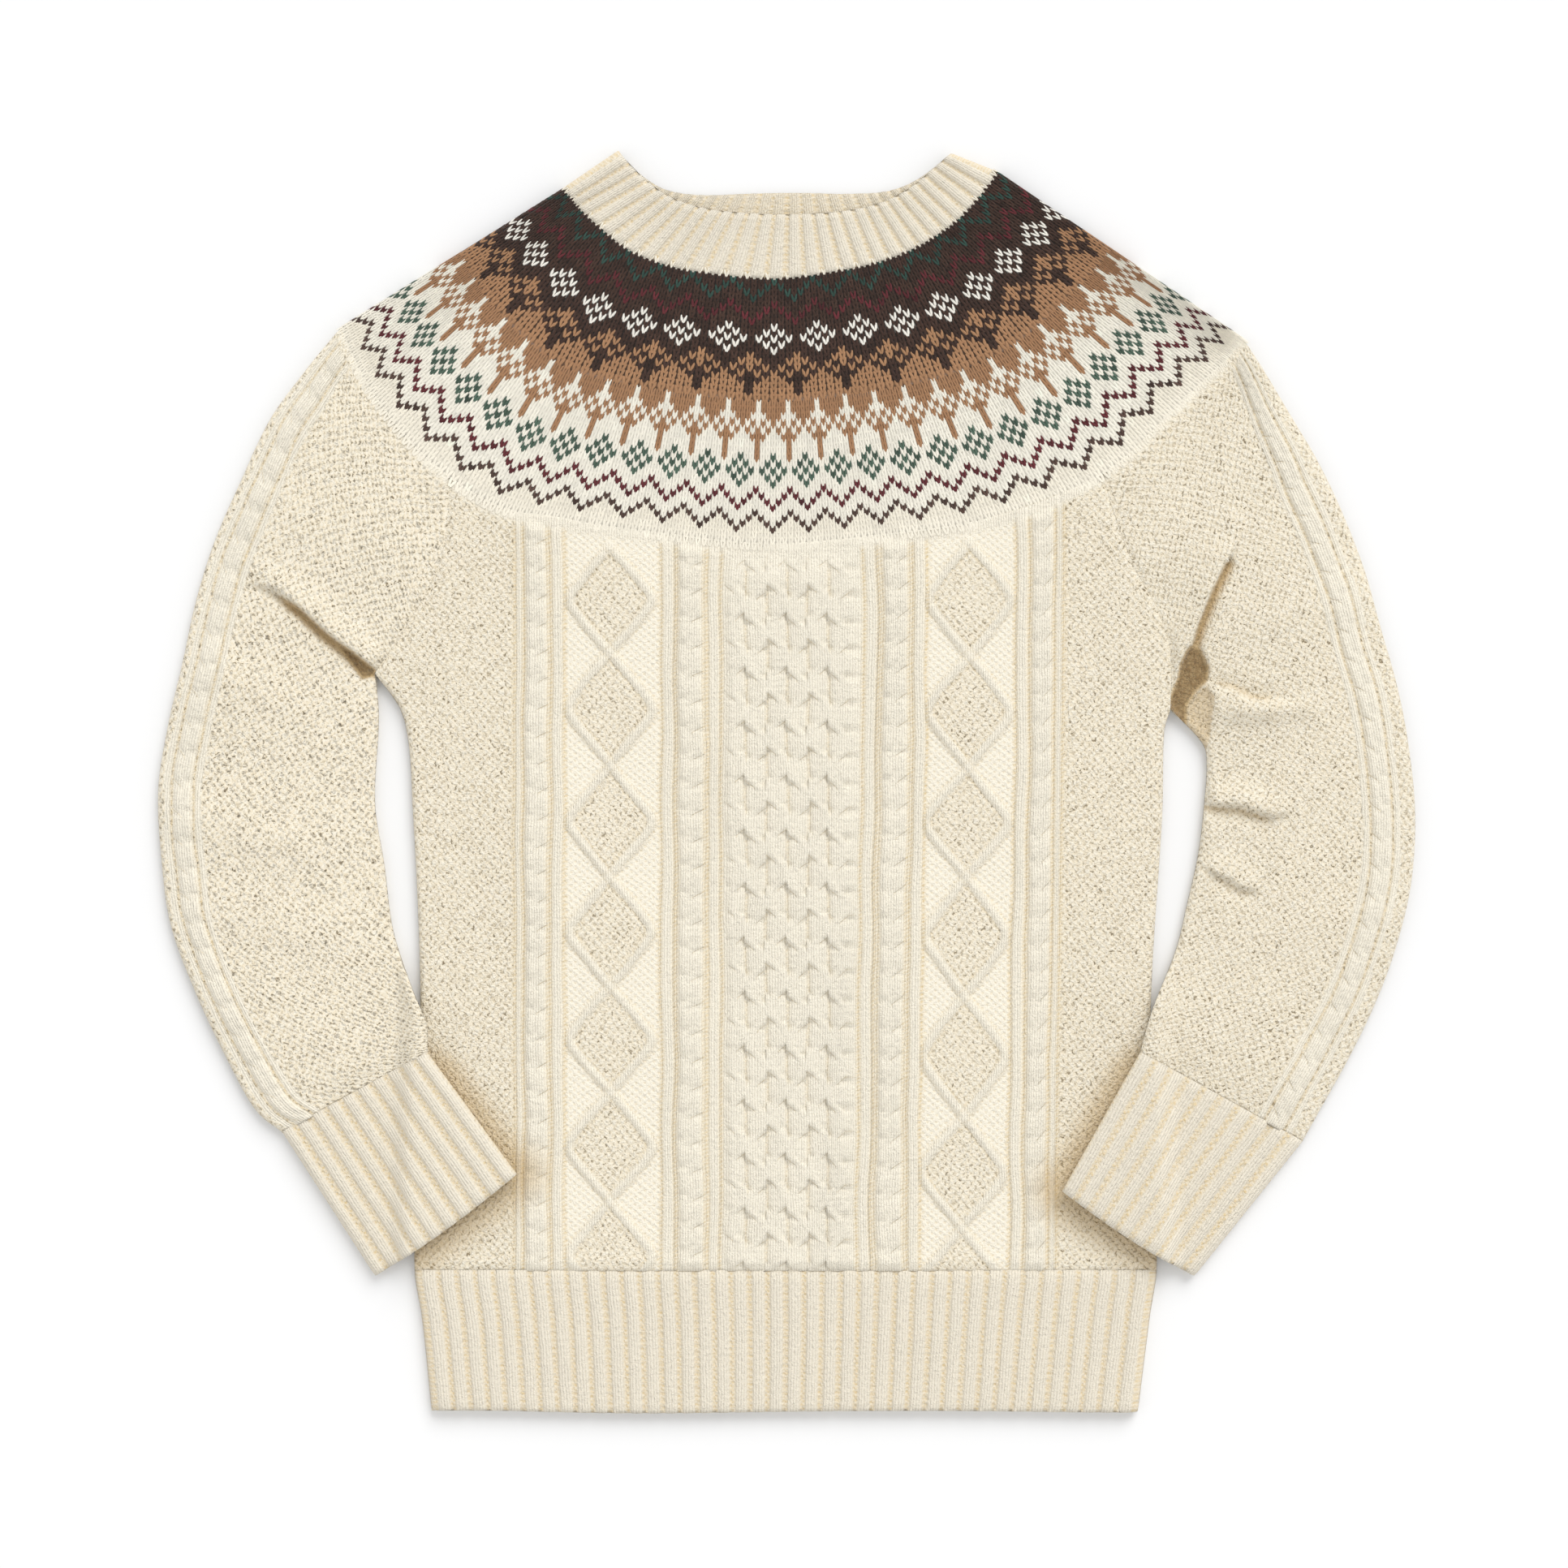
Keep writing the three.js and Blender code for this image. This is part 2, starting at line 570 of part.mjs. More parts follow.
function hemRib(name, layer) {
  const slack = LAYER_GAP / 2;
  const plain = range(12, 0.02, 0.98);
  const flat = plain.map((fraction) => ({ fraction, raise: 0 }));
  const ribs = layer > 0 ? ribPlaces(HEM_RIBS, 0.01, 0.99) : flat;
  const outer = [
    hemColumn(0, 0, HALF_SEAM, layer),
    hemColumn(0, 1, roundEdge(1), layer),
    ...ribs.map(({ fraction, raise }) => hemColumn(fraction, 0, HALF_THICK + raise, layer)),
    hemColumn(1, -1, roundEdge(1), layer),
    hemColumn(1, 0, HALF_SEAM, layer),
  ];
  const inner = [
    hemColumn(0, WALL, HALF_SEAM, layer),
    hemColumn(0, WALL + 1, slack, layer),
    ...plain.map((fraction) => hemColumn(fraction, 0, slack, layer)),
    hemColumn(1, -WALL - 1, slack, layer),
    hemColumn(1, -WALL, HALF_SEAM, layer),
  ];
  return panel(name, CREAM, outer, inner);
}

// A flattened tube: over the front from one fold to the other, and back underneath. The place
// function gives a point's plan and the height of what it lies on.
function flatTube(name, colour, rows, place, widthAt, ribs, plain) {
  const column = (layer, fraction, fromFold, height) => rows.map((v) => {
    const s = fraction + fromFold / widthAt(v);
    const [x, y, ground] = place(s, v, layer);
    const across = layer > 0 ? s : RING_ROUND - s;
    return { at: [x, y, ground + HALF_THICK + layer * height], along: v, across };
  });
  const slack = LAYER_GAP / 2;
  const back = [...plain].reverse();
  const outer = [
    column(1, 0, 0, 0),
    column(1, 0, 1, roundEdge(1)),
    column(1, 0, HALF_THICK, HALF_THICK),
    ...ribs.map(({ fraction, raise }) => column(1, fraction, 0, HALF_THICK + raise)),
    column(1, 1, -HALF_THICK, HALF_THICK),
    column(1, 1, -1, roundEdge(1)),
    column(1, 1, 0, 0),
    column(-1, 1, -1, roundEdge(1)),
    column(-1, 1, -HALF_THICK, HALF_THICK),
    ...back.map((fraction) => column(-1, fraction, 0, HALF_THICK)),
    column(-1, 0, HALF_THICK, HALF_THICK),
    column(-1, 0, 1, roundEdge(1)),
  ];
  const inner = [
    column(1, 0, WALL, 0),
    column(1, 0, WALL + 1, slack),
    ...plain.map((fraction) => column(1, fraction, 0, slack)),
    column(1, 1, -WALL - 1, slack),
    column(1, 1, -WALL, 0),
    column(-1, 1, -WALL - 1, slack),
    ...back.map((fraction) => column(-1, fraction, 0, slack)),
    column(-1, 0, WALL + 1, slack),
  ];
  return ring(name, colour, outer, inner);
}

// Yoke and collar: rings round the neck, flattened at the shoulder folds

const neckRise = (s, layer) => (layer < 0 ? BACK_NECK_RISE * Math.sin(Math.PI * clamp(s, 0, 1)) ** 2 : 0);
const ROUND_PLACES = range(PLAIN_COLUMNS, 0.025, 0.975);

function lengthAlong(place, v) {
  const points = range(PLAIN_COLUMNS).map((s) => place(s, v, 1));
  return points.slice(1).reduce((sum, point, i) => sum + distance(points[i], point), 0);
}

function yoke() {
  const place = (s, v, layer) => {
    const repeat = lerp(FIRST_REPEAT, LAST_REPEAT, s);
    return [...yokePlan(repeat, v, neckRise(s, layer) * (1 - v)), 0];
  };
  const trim = HALF_SEAM / yokeLength(0);
  const plain = range(36, 0.02, 0.98).map((fraction) => ({ fraction, raise: 0 }));
  const width = (v) => lengthAlong(place, v);
  return flatTube("yoke", YOKE_BROWN, range(7, trim, 1 - trim), place, width, plain, ROUND_PLACES);
}

function collar() {
  const place = (s, v, layer) => {
    const repeat = lerp(FIRST_REPEAT, LAST_REPEAT, s);
    const rise = neckRise(s, layer);
    const rim = [station.rimX(repeat), station.rimY(repeat) + rise, 0];
    return mix(rim, [station.neckX(repeat), station.neckY(repeat) + rise, 0], v);
  };
  const trim = HALF_SEAM / distance(place(0.5, 0, 1), place(0.5, 1, 1));
  const ribs = ribPlaces(COLLAR_RIBS, 0.03, 0.97);
  const width = (v) => lengthAlong(place, v);
  return flatTube("collar", CREAM, range(2, 0, 1 - trim), place, width, ribs, ROUND_PLACES);
}

// Sleeves: one piece each, folded along the outside and seamed below the underarm

const YOKE_PULL_ROWS = 3.5; // the sleeve's sections take this many rows to leave the yoke's curve
const CORNER_GAP = 0.015; // the sleeve's top stops this part of a repeat short of the armhole seam
const YOKE_CLEARANCE = 1.8; // and stands back this many half seams, as it follows the yoke in chords

// Columns across the front and the back of a sleeve, as parts of the way from its fold to its seam
const SLEEVE_FRONT_PLACES = [0.86, 0.72, 0.58, 0.44, 0.31];
const SLEEVE_BACK_PLACES = [0.2, 0.4, 0.6, 0.8];

function sleeve(name, edge, inseam, foldRepeat, ropeFromFold) {
  const { raglan, underarm, corner, inward } = edge;
  const numbered = edge.sleeve.map((row, v) => ({ ...row, v }));
  const last = numbered.length - 1;
  const outerX = through(numbered, "v", "outerX");
  const outerY = through(numbered, "v", "outerY");
  const innerY = through(numbered, "v", "innerY");
  const inseamX = through(inseam, "y", "x");
  const cornerPoint = yokeSeam(corner, 1);
  const innerPoint = (v) => {
    const y = Math.min(innerY(v), cornerPoint[1]);
    const isRaglan = y > underarm;
    return [(isRaglan ? raglan : inseamX)(y) - inward * ARMHOLE_GAP, y];
  };
  const meet = corner + Math.sign(foldRepeat - corner) * CORNER_GAP;
  const edgeOffset = (s) => {
    const onYoke = yokeSeam(lerp(foldRepeat, meet, s), YOKE_CLEARANCE);
    const straight = mix([outerX(0), outerY(0)], innerPoint(0), s);
    return [onYoke[0] - straight[0], onYoke[1] - straight[1]];
  };
  const plan = (s, v) => {
    const [x, y] = mix([outerX(v), outerY(v)], innerPoint(v), s);
    const pull = 1 - smoothstep(v, 0, YOKE_PULL_ROWS);
    const [dx, dy] = edgeOffset(clamp(s, 0, 1));
    return [x + pull * dx, y + pull * dy];
  };
  const widthAt = (v) => distance([outerX(v), outerY(v)], innerPoint(v));
  const lowRow = last - HALF_SEAM / 12;
  const evenly = [...range(last, 0, last).slice(0, -1), lowRow];

  const roundInside = (v) => smoothstep(underarm - innerY(v), 0, SIDE_TURN);
  const outerHeight = (s, v) => {
    const width = widthAt(v);
    const atFold = roundEdge(s * width);
    const atSeam = lerp(HALF_THICK, Math.max(roundEdge((1 - s) * width), HALF_SEAM), roundInside(v));
    return Math.min(atFold, atSeam);
  };
  const full = (s, v, x, y) => {
    const width = widthAt(v);
    const away = clamp(Math.min(s * width, (1 - s) * width) / PUFF_FROM_EDGE, 0, 1);
    const middle = smoothstep(v, 0.5, 3) * (1 - smoothstep(v, last - 1.5, last));
    return (SLEEVE_PUFF * Math.sin(Math.PI * clamp(s, 0, 1)) + foldRidge(x, y)) * away * middle;
  };
  const point = (layer, s, v, height, raise) => {
    const [x, y] = plan(s, v);
    const puffed = layer > 0 ? full(s, v, x, y) : 0;
    const z = support(x, y) + HALF_THICK + layer * height + puffed + raise;
    return { at: [x, y, z], along: v, across: layer > 0 ? 1 - s : 1 + s };
  };
  const outerColumn = (layer, fraction, fromFold) => evenly.map((v) => {
    const s = fraction + fromFold / widthAt(v);
    return point(layer, s, v, outerHeight(s, v), 0);
  });
  const innerColumn = (layer, fraction, fromFold) => evenly.map((v) => {
    const round = fraction === 1 ? roundInside(v) : 1;
    const inset = fraction === 1 ? lerp(fromFold + WALL, fromFold, round) : fromFold;
    const isEnd = Math.abs(fromFold) === WALL;
    const slack = LAYER_GAP / 2;
    const height = isEnd ? (fraction === 1 ? lerp(slack, HALF_SEAM, round) : 0) : slack;
    return point(layer, fraction + inset / widthAt(v), v, height, 0);
  });
  const ropeCrest = (fromFold, side) => {
    const strands = ropeRows(SLEEVE_ROPE_LENGTH, 0, side);
    return strands.map(({ at, raise }) => {
      const v = clamp((1 - at / SLEEVE_ROPE_LENGTH) * lowRow, 0, lowRow);
      const fade = smoothstep(v, 0, 1) * (1 - smoothstep(v, lowRow - 0.4, lowRow));
      const s = fromFold / widthAt(v);
      return point(1, s, v, outerHeight(s, v), raise * fade);
    });
  };
  const half = SLEEVE_ROPE_HALF_WIDTH;
  const outer = [
    ...[0, 1, HALF_THICK].map((fromSeam) => outerColumn(1, 1, -fromSeam)),
    ...SLEEVE_FRONT_PLACES.map((s) => outerColumn(1, s, 0)),
    outerColumn(1, 0, ropeFromFold + half),
    ropeCrest(ropeFromFold + ROPE_CREST * half, inward),
    ropeCrest(ropeFromFold - ROPE_CREST * half, -inward),
    outerColumn(1, 0, ropeFromFold - half),
    ...[HALF_THICK, 1, 0].map((fromFold) => outerColumn(1, 0, fromFold)),
    ...[1, HALF_THICK].map((fromFold) => outerColumn(-1, 0, fromFold)),
    ...SLEEVE_BACK_PLACES.map((s) => outerColumn(-1, s, 0)),
    ...[HALF_THICK, 1, 0].map((fromSeam) => outerColumn(-1, 1, -fromSeam)),
  ];
  const inner = [
    ...[WALL, WALL + 1].map((fromSeam) => innerColumn(1, 1, -fromSeam)),
    ...[...SLEEVE_FRONT_PLACES, 0.16].map((s) => innerColumn(1, s, 0)),
    ...[WALL + 1, WALL].map((fromFold) => innerColumn(1, 0, fromFold)),
    innerColumn(-1, 0, WALL + 1),
    ...SLEEVE_BACK_PLACES.map((s) => innerColumn(-1, s, 0)),
    ...[WALL + 1, WALL].map((fromSeam) => innerColumn(-1, 1, -fromSeam)),
  ];
  return panel(name, CREAM, outer, inner);
}

// Cuffs: ribbed tubes that lie over the lower corners of the body

function cuff(name, { seamOuter, seamInner, endOuter, endInner }) {
  const place = (s, v) => {
    const [x, y] = mix(mix(seamOuter, endOuter, v), mix(seamInner, endInner, v), s);
    return [x, y, support(x, y)];
  };
  const length = distance(mix(seamOuter, seamInner, 0.5), mix(endOuter, endInner, 0.5));
  const width = (v) => distance(place(0, v), place(1, v));
  const rows = range(5, HALF_SEAM / length, 1);
  const ribs = ribPlaces(CUFF_RIBS, 0.05, 0.95);
  return flatTube(name, CREAM, rows, place, width, ribs, range(PLAIN_ROWS, 0.1, 0.9));
}

const jumper = new THREE.Group();
jumper.add(bodyFront(), bodyBack(), hemRib("hem_rib_front", 1), hemRib("hem_rib_back", -1));
jumper.add(yoke(), collar());
jumper.add(sleeve("sleeve_left", LEFT_EDGE, LEFT_INSEAM, FIRST_REPEAT, LEFT_ROPE_FROM_FOLD));
jumper.add(sleeve("sleeve_right", RIGHT_EDGE, RIGHT_INSEAM, LAST_REPEAT, RIGHT_ROPE_FROM_FOLD));
jumper.add(cuff("cuff_left", LEFT_CUFF), cuff("cuff_right", RIGHT_CUFF));

// The origin lies on the surface under the middle of the garment
const box = new THREE.Box3().setFromObject(jumper);
jumper.position.set(-(box.min.x + box.max.x) / 2, -(box.min.y + box.max.y) / 2, -box.min.z);

export default jumper;
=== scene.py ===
"""A cream cable knit jumper with a round fair isle yoke, laid flat with its front up.

Lengths are in millimetres until a mesh is made. X runs across the garment, Y towards the neck and
Z up from the surface it lies on. The tables are those of the part's own source.
"""

import bpy
import numpy as np
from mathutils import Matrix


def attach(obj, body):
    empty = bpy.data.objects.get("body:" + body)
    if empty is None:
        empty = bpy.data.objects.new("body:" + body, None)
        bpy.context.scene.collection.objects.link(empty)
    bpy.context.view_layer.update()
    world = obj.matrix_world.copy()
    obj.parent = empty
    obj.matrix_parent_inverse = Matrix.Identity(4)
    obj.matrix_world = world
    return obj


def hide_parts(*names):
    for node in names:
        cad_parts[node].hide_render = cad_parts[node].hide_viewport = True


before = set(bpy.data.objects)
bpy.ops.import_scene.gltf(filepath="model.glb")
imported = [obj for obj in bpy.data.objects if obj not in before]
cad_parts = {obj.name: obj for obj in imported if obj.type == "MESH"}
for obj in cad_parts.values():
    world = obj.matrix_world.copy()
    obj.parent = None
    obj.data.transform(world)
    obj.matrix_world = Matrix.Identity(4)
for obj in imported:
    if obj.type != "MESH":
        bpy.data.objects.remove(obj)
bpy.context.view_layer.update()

ORIGIN_X = 0.5  # the row frame's origin lies this far right of the tables' own
MILLIMETRE = 0.001

# Cloth
WALL = 3.0
LAYER_GAP = 1.0
SLACK = LAYER_GAP / 2
HALF_THICK = WALL + LAYER_GAP / 2
FRONT_TOP = 2 * HALF_THICK
HALF_SEAM = 0.17

# Gauge
WALE = 2.75  # one stitch across
COURSE = 3.4  # one row of plain knitting
MOSS_COURSE = 2.5

# Raised knitting
RIB_RAISE = 1.4
RAIL_RAISE = 0.95
ROPE_RAISE = 2.5
ROPE_TURN = 14.6
DIAMOND_RAISE = 1.5
DIAMOND_HALF_WIDTH = 22.0
DIAMOND_LINE = 3.1
DIAMOND_FILL = 0.5
HONEYCOMB_RAISE = 2.3
HONEYCOMB_TURN = 28.6
HONEYCOMB_PITCH = 11.0
HONEYCOMB_LINES = 6
HONEYCOMB_MIDDLE = 0.9
HONEYCOMB_TOP_Y = 114.0

# Lengths and counts
HEM_SEAM_Y = -260.0
HEM_END_Y = -334.5
HEM_RIBS = 40
CUFF_RIBS = 10
COLLAR_RIBS = 30
BACK_NECK_RISE = 12.0
LEFT_UNDERARM_Y = 57.0
RIGHT_UNDERARM_Y = 38.0

# Yarns, as they look in the photograph
CREAM = (242, 235, 218)
RIB_CREAM = (233, 225, 208)
IVORY = (242, 237, 223)
WHITE = (240, 236, 226)
# Painted shade, not yarn: the shade in furrows, in the holes of the moss stitch, in creases and in the deep places
# under the arms
FURROW_SHADE = (214, 186, 128)
HOLE_SHADE = (122, 104, 74)
CREASE_SHADE = (196, 164, 108)
DEEP_SHADE = (132, 106, 70)
# Yarns of the yoke
DARK_BROWN = (63, 44, 36)
BURGUNDY = (96, 38, 44)
GREEN = (44, 72, 64)
PALE_GREEN = (76, 98, 84)
CAMEL = (170, 128, 93)
EDGE_BROWN = (84, 64, 56)


def table(names, rows):
    """A table as one array for each named column."""
    return dict(zip(names.split(), np.array(rows, float).T))


STATIONS = table("repeat rimX rimY neckX neckY edgeX edgeY", [
    (-13, -89, 334.5, -119, 314, -236, 241),
    (-12, -84, 328, -114, 309, -230, 225),
    (-10.5, -76, 320, -108, 302, -217, 202),
    (-8.75, -66, 312, -96, 291, -191, 171),
    (-7, -56, 307, -83, 281, -155, 146),
    (-5.25, -44, 303.5, -66, 274, -117, 138),
    (-3.5, -31, 301.5, -49, 270, -77, 132),
    (0, -3, 300, -6, 266, -7, 125),
    (3.5, 24, 301, 33, 271, 62, 131),
    (5.25, 38, 303, 50, 275, 102, 137),
    (7, 50, 306, 66, 281, 141, 149),
    (8.75, 61, 311, 80, 289, 178, 169),
    (10.5, 71, 318, 92, 298, 207, 198),
    (12.25, 80, 326, 103, 310, 232, 221),
    (14, 88, 333, 113, 323, 243, 235),
])
FIRST_REPEAT = -13
LAST_REPEAT = 14
LEFT_RAGLAN = table("y x", [(57, -218), (82, -201), (117, -183), (160, -178)])
RIGHT_RAGLAN = table("y x", [(38, 204), (69, 204), (91, 197), (113, 185), (145, 173), (163, 168)])
LEFT_SIDE = table("y x", [
    (-334.5, -188), (-286, -193), (-260, -197), (-189, -196), (-113, -194), (-16, -198), (34, -203),
    (57, -218),
])
RIGHT_SIDE = table("y x", [
    (-334.5, 187), (-280, 194), (-260, 197), (-189, 195), (-116, 194), (-17, 200), (26, 201), (38, 204),
])
LEFT_INSEAM = table("y x", [
    (-144, -189), (-128, -190), (-111, -197), (-81, -208), (-45, -213), (-12, -218), (34, -216),
    (57, -218),
])
RIGHT_INSEAM = table("y x", [
    (-144, 187), (-120, 194), (-90, 207), (-66, 213), (-39, 219), (-14, 222), (10, 223.5), (20, 221),
    (38, 204),
])
LEFT_SLEEVE = table("outerX outerY innerY", [
    (-236, 241, 160), (-246, 229, 136), (-257, 215, 117), (-274, 191, 99), (-290, 157, 82),
    (-303, 127, 69), (-313, 95, 57), (-320, 63, 36), (-328, 28, 12), (-333, -6, -12), (-331, -45, -45),
    (-326, -78, -81), (-313, -113, -109), (-298, -145, -126), (-282, -174, -138), (-267, -187, -144),
])
RIGHT_SLEEVE = table("outerX outerY innerY", [
    (243, 235, 163), (254, 218, 140), (268, 194, 117), (282, 170, 96), (295, 143, 76), (307, 112, 57),
    (316, 80, 38), (324, 52, 24), (330, 22, 6), (334, -16, -18), (332, -54, -44), (324, -88, -70),
    (313, -118, -94), (299, -147, -116), (284, -174, -134), (274, -192, -144),
])
LEFT_CUFF = ((-267, -187), (-189, -144), (-218, -263), (-142, -208))
RIGHT_CUFF = ((274, -192), (187, -144), (217, -263), (146, -217))
LEFT_ROPE_FROM_FOLD = 13.5
RIGHT_ROPE_FROM_FOLD = 18.0
SLEEVE_ROPE_HALF_WIDTH = 5.6

DOUBLE_RIBS = (-121.0, -62.4, -38.0, 45.2, 71.2, 125.6)
SINGLE_RIBS = (-141.4, 145.0)
ROPES = ((-132.3, 6.3), (-50.4, 7.2), (58.4, 7.2), (136.2, 6.1))
DIAMONDS = (
    (-93.0, (124, 68, 8, -51, -109, -165, -223, -281)),
    (97.4, (126, 66, 7, -51, -114, -178, -237, -296)),
)
CABLES_FROM_X = -143.6
CABLES_TO_X = 147.2
LEAN_AT_HEM = -4.0
LEAN_FROM_X = 20.0
LEAN_BLEND = 20.0

FAR = 3.0  # from any line that is drawn

# Soft ridges on the sleeves
RIDGES = table("x1 y1 x2 y2 width height", [
    (238, 134, 226, 100, 9, 1.8),
    (232, 36, 276, 38, 6, 2.0),
    (-300, 60, -262, 40, 10, 1.4),
    (-318, -20, -262, -34, 12, 1.4),
    (-300, -70, -250, -78, 12, 1.2),
    (300, 100, 262, 82, 12, 1.3),
    (312, -70, 258, -84, 12, 1.2),
    (-236, 226, -276, 150, 9, 1.2),
    (246, 220, 286, 150, 9, 1.2),
])
# Creases: the cloth on the left of the line's way hangs over a valley, which gets painted shade
CREASES = (
    ((-292, 101), (-281, 103), (-272, 101), (-258, 91), (-244, 78), (-229, 66), (-216, 57)),
    ((201, 30), (206, 44), (213, 62), (219, 82), (226, 100), (233, 114)),
    ((270, 42), (257, 42), (246, 43), (238, 48), (230, 50)),
    ((272, -16), (258, -20), (248, -17), (240, -14.5), (230, -14), (223, -13)),
    ((254, -60), (242, -58), (232, -52)),
)
# Each crease: ridge height, valley depth, darkness of its painted shade, which side the ridge lies on, and how soft its
# shaded side is
CREASE_SIZES = (
    (4.2, 5.0, 1.3, 1, 1.2), (3.2, 4.4, 1.15, 1, 1.3), (2.6, 2.2, 0.1, 1, 2), (3.4, 2.6, 0.25, -1, 2.4),
    (2.2, 2.0, 0.0, -1, 2),
)
# Deep places under the arms: how far they sink, how dark their painted shade is, and their outlines. The last is a
# shallow place beside the right one with faint painted shade
POCKETS = (
    (4.4, 9.0, ((-243, 77), (-229, 68.5), (-217, 58.5), (-218, 55), (-224.7, 53.4), (-233, 64))),
    (4.4, 9.0, ((214.6, 71.7), (219.7, 70.8), (224.7, 60), (224.2, 53), (217.4, 46.4), (213.4, 40), (212.9, 32.8),
                (213.5, 24.6), (207, 28), (200, 35), (203.9, 45.5), (207.5, 54.5), (208.6, 61.8), (212, 69))),
    (1.6, 0.2, ((213.4, 40), (217.4, 46), (223, 50), (227, 44), (226, 34), (225, 24), (222.9, 16), (213.5, 24.6))),
)
SLEEVE_PUFF = 2.4

# Colour knitting, one letter for a stitch and one row for a round, from the neck down. Both parts
# repeat over six stitches, with the middle of a diamond first.
INNER_CHART = (
    "gbbbbb", "bgbbbg", "bbgbgb", "bbbgbb",
    "rbbbbb", "brbbbr", "bbrbrb", "bbbrbb",
    "wbbbbb", "bwbbbw", "wbwbwb", "bwbbbw", "wbbbbb",
    "bbbcbb", "bbcccb", "bcbcbc", "cbcbcb", "ccbbbc", "cccbcc", "cccbcc", "cccccc",
)
OUTER_CHART = (
    "cccicc", "cccicc", "cciiic", "cicici", "icicic", "iiccci", "iiicii", "iiicii",
    "piicii", "ipiiip", "pipipi", "ipiiip", "piiiii",
    "iiirii", "iiriri", "iriiir", "riiiii",
    "iiidii", "iidkdi", "idkkkd", "dkkkkk", "kkkkkk", "kkkkkk",
)
YARNS = {
    "b": DARK_BROWN, "g": GREEN, "r": BURGUNDY, "w": WHITE, "c": CAMEL, "i": IVORY, "p": PALE_GREEN,
    "d": EDGE_BROWN, "k": CREAM,
}
REPEATS_ROUND = 56
INNER_REPEATS_ROUND = 32
ROW_MARKS = table("row fraction", [
    (-1, -0.02), (0, 0.003), (21, 0.464), (34, 0.788), (42, 0.957), (44, 1.0), (46, 1.045),
])


def smoothstep(x, low, high):
    t = np.clip((x - low) / (high - low), 0, 1)
    return t * t * (3 - 2 * t)


def lerp(a, b, f):
    return a + (b - a) * f


def through(knots, values):
    """A smooth curve through a table's points."""
    order = np.argsort(knots)
    knots, values = np.asarray(knots, float)[order], np.asarray(values, float)[order]
    last = len(knots) - 1
    before, after = np.maximum(np.arange(last + 1) - 1, 0), np.minimum(np.arange(last + 1) + 1, last)
    slope = (values[after] - values[before]) / (knots[after] - knots[before])

    def curve(q):
        at = np.clip(q, knots[0], knots[-1])
        i = np.clip(np.searchsorted(knots, at, side="right") - 1, 0, last - 1)
        span, rise = knots[i + 1] - knots[i], values[i + 1] - values[i]
        f = (at - knots[i]) / span
        bend = f * (1 - f) * ((1 - f) * (slope[i] * span - rise) - f * (slope[i + 1] * span - rise))
        return values[i] + rise * f + bend

    return curve


station = {name: through(STATIONS["repeat"], STATIONS[name]) for name in STATIONS if name != "repeat"}
left_raglan = through(LEFT_RAGLAN["y"], LEFT_RAGLAN["x"])
right_raglan = through(RIGHT_RAGLAN["y"], RIGHT_RAGLAN["x"])
left_side = through(LEFT_SIDE["y"], LEFT_SIDE["x"])
right_side = through(RIGHT_SIDE["y"], RIGHT_SIDE["x"])
row_fraction = through(ROW_MARKS["row"], ROW_MARKS["fraction"])


def dome(x):
    """A round cross section: 1 in the middle and 0 from a distance of 1."""
    return np.sqrt(np.clip(1 - x * x, 0, 1))


def hill(x):
    return np.exp(-x * x)


def waves(x, y, length, seed):
    """Gentle uneven ground from -1 to 1, with hills about this length apart."""
    generator = np.random.default_rng(seed)
    total = 0
    for _ in range(6):
        angle, phase = generator.uniform(0, 2 * np.pi, 2)
        size = 2 * np.pi / (length * generator.uniform(0.7, 1.6))
        total = total + np.sin((x * np.cos(angle) + y * np.sin(angle)) * size + phase)
    return total / 4


def round_edge(from_fold):
    inset = HALF_THICK - np.clip(from_fold, 0, HALF_THICK)
    return np.sqrt(np.maximum(HALF_THICK**2 - inset**2, 0))


SUPPORT_TOP = FRONT_TOP + 2.1 + 0.4
SUPPORT_RAMP = 14.0
CROSSING_Y = -60.0
CROSSING_RAMP = 40.0


def support(x, y):
    """Height of what a sleeve or cuff lies on."""
    inside = np.minimum(x - left_side(y), right_side(y) - x)
    return SUPPORT_TOP * smoothstep(inside, -SUPPORT_RAMP, 0) * smoothstep(CROSSING_Y - y, 0, CROSSING_RAMP)


def along_line(x, y, line):
    """Signed distance from a line, positive on its left, and how far along it, from 0 to 1."""
    nearest, signed, place = np.full_like(x, 1e9), np.zeros_like(x), np.zeros_like(x)
    points = np.array(line, float)
    steps = np.hypot(*np.diff(points, axis=0).T)
    reached = np.concatenate([[0], np.cumsum(steps)]) / steps.sum()
    for k, length in enumerate(steps):
        (x1, y1), (dx, dy) = points[k], points[k + 1] - points[k]
        f = np.clip(((x - x1) * dx + (y - y1) * dy) / length**2, 0, 1)
        away = np.hypot(x - x1 - f * dx, y - y1 - f * dy)
        side = np.where(dx * (y - y1) - dy * (x - x1) > 0, 1.0, -1.0)
        closer = away < nearest
        signed = np.where(closer, side * away, signed)
        place = np.where(closer, reached[k] + f * (reached[k + 1] - reached[k]), place)
        nearest = np.minimum(nearest, away)
    return signed, place


def within(x, y, outline):
    """Distance into an outline, and below 0 outside it."""
    points = np.array(outline + outline[:1], float)
    inside = np.zeros(x.shape, bool)
    for (x1, y1), (x2, y2) in zip(points[:-1], points[1:]):
        if y1 != y2:
            inside ^= ((y1 > y) != (y2 > y)) & (x < x1 + (y - y1) * (x2 - x1) / (y2 - y1))
    away, _ = along_line(x, y, points)
    return np.where(inside, 1, -1) * np.abs(away)


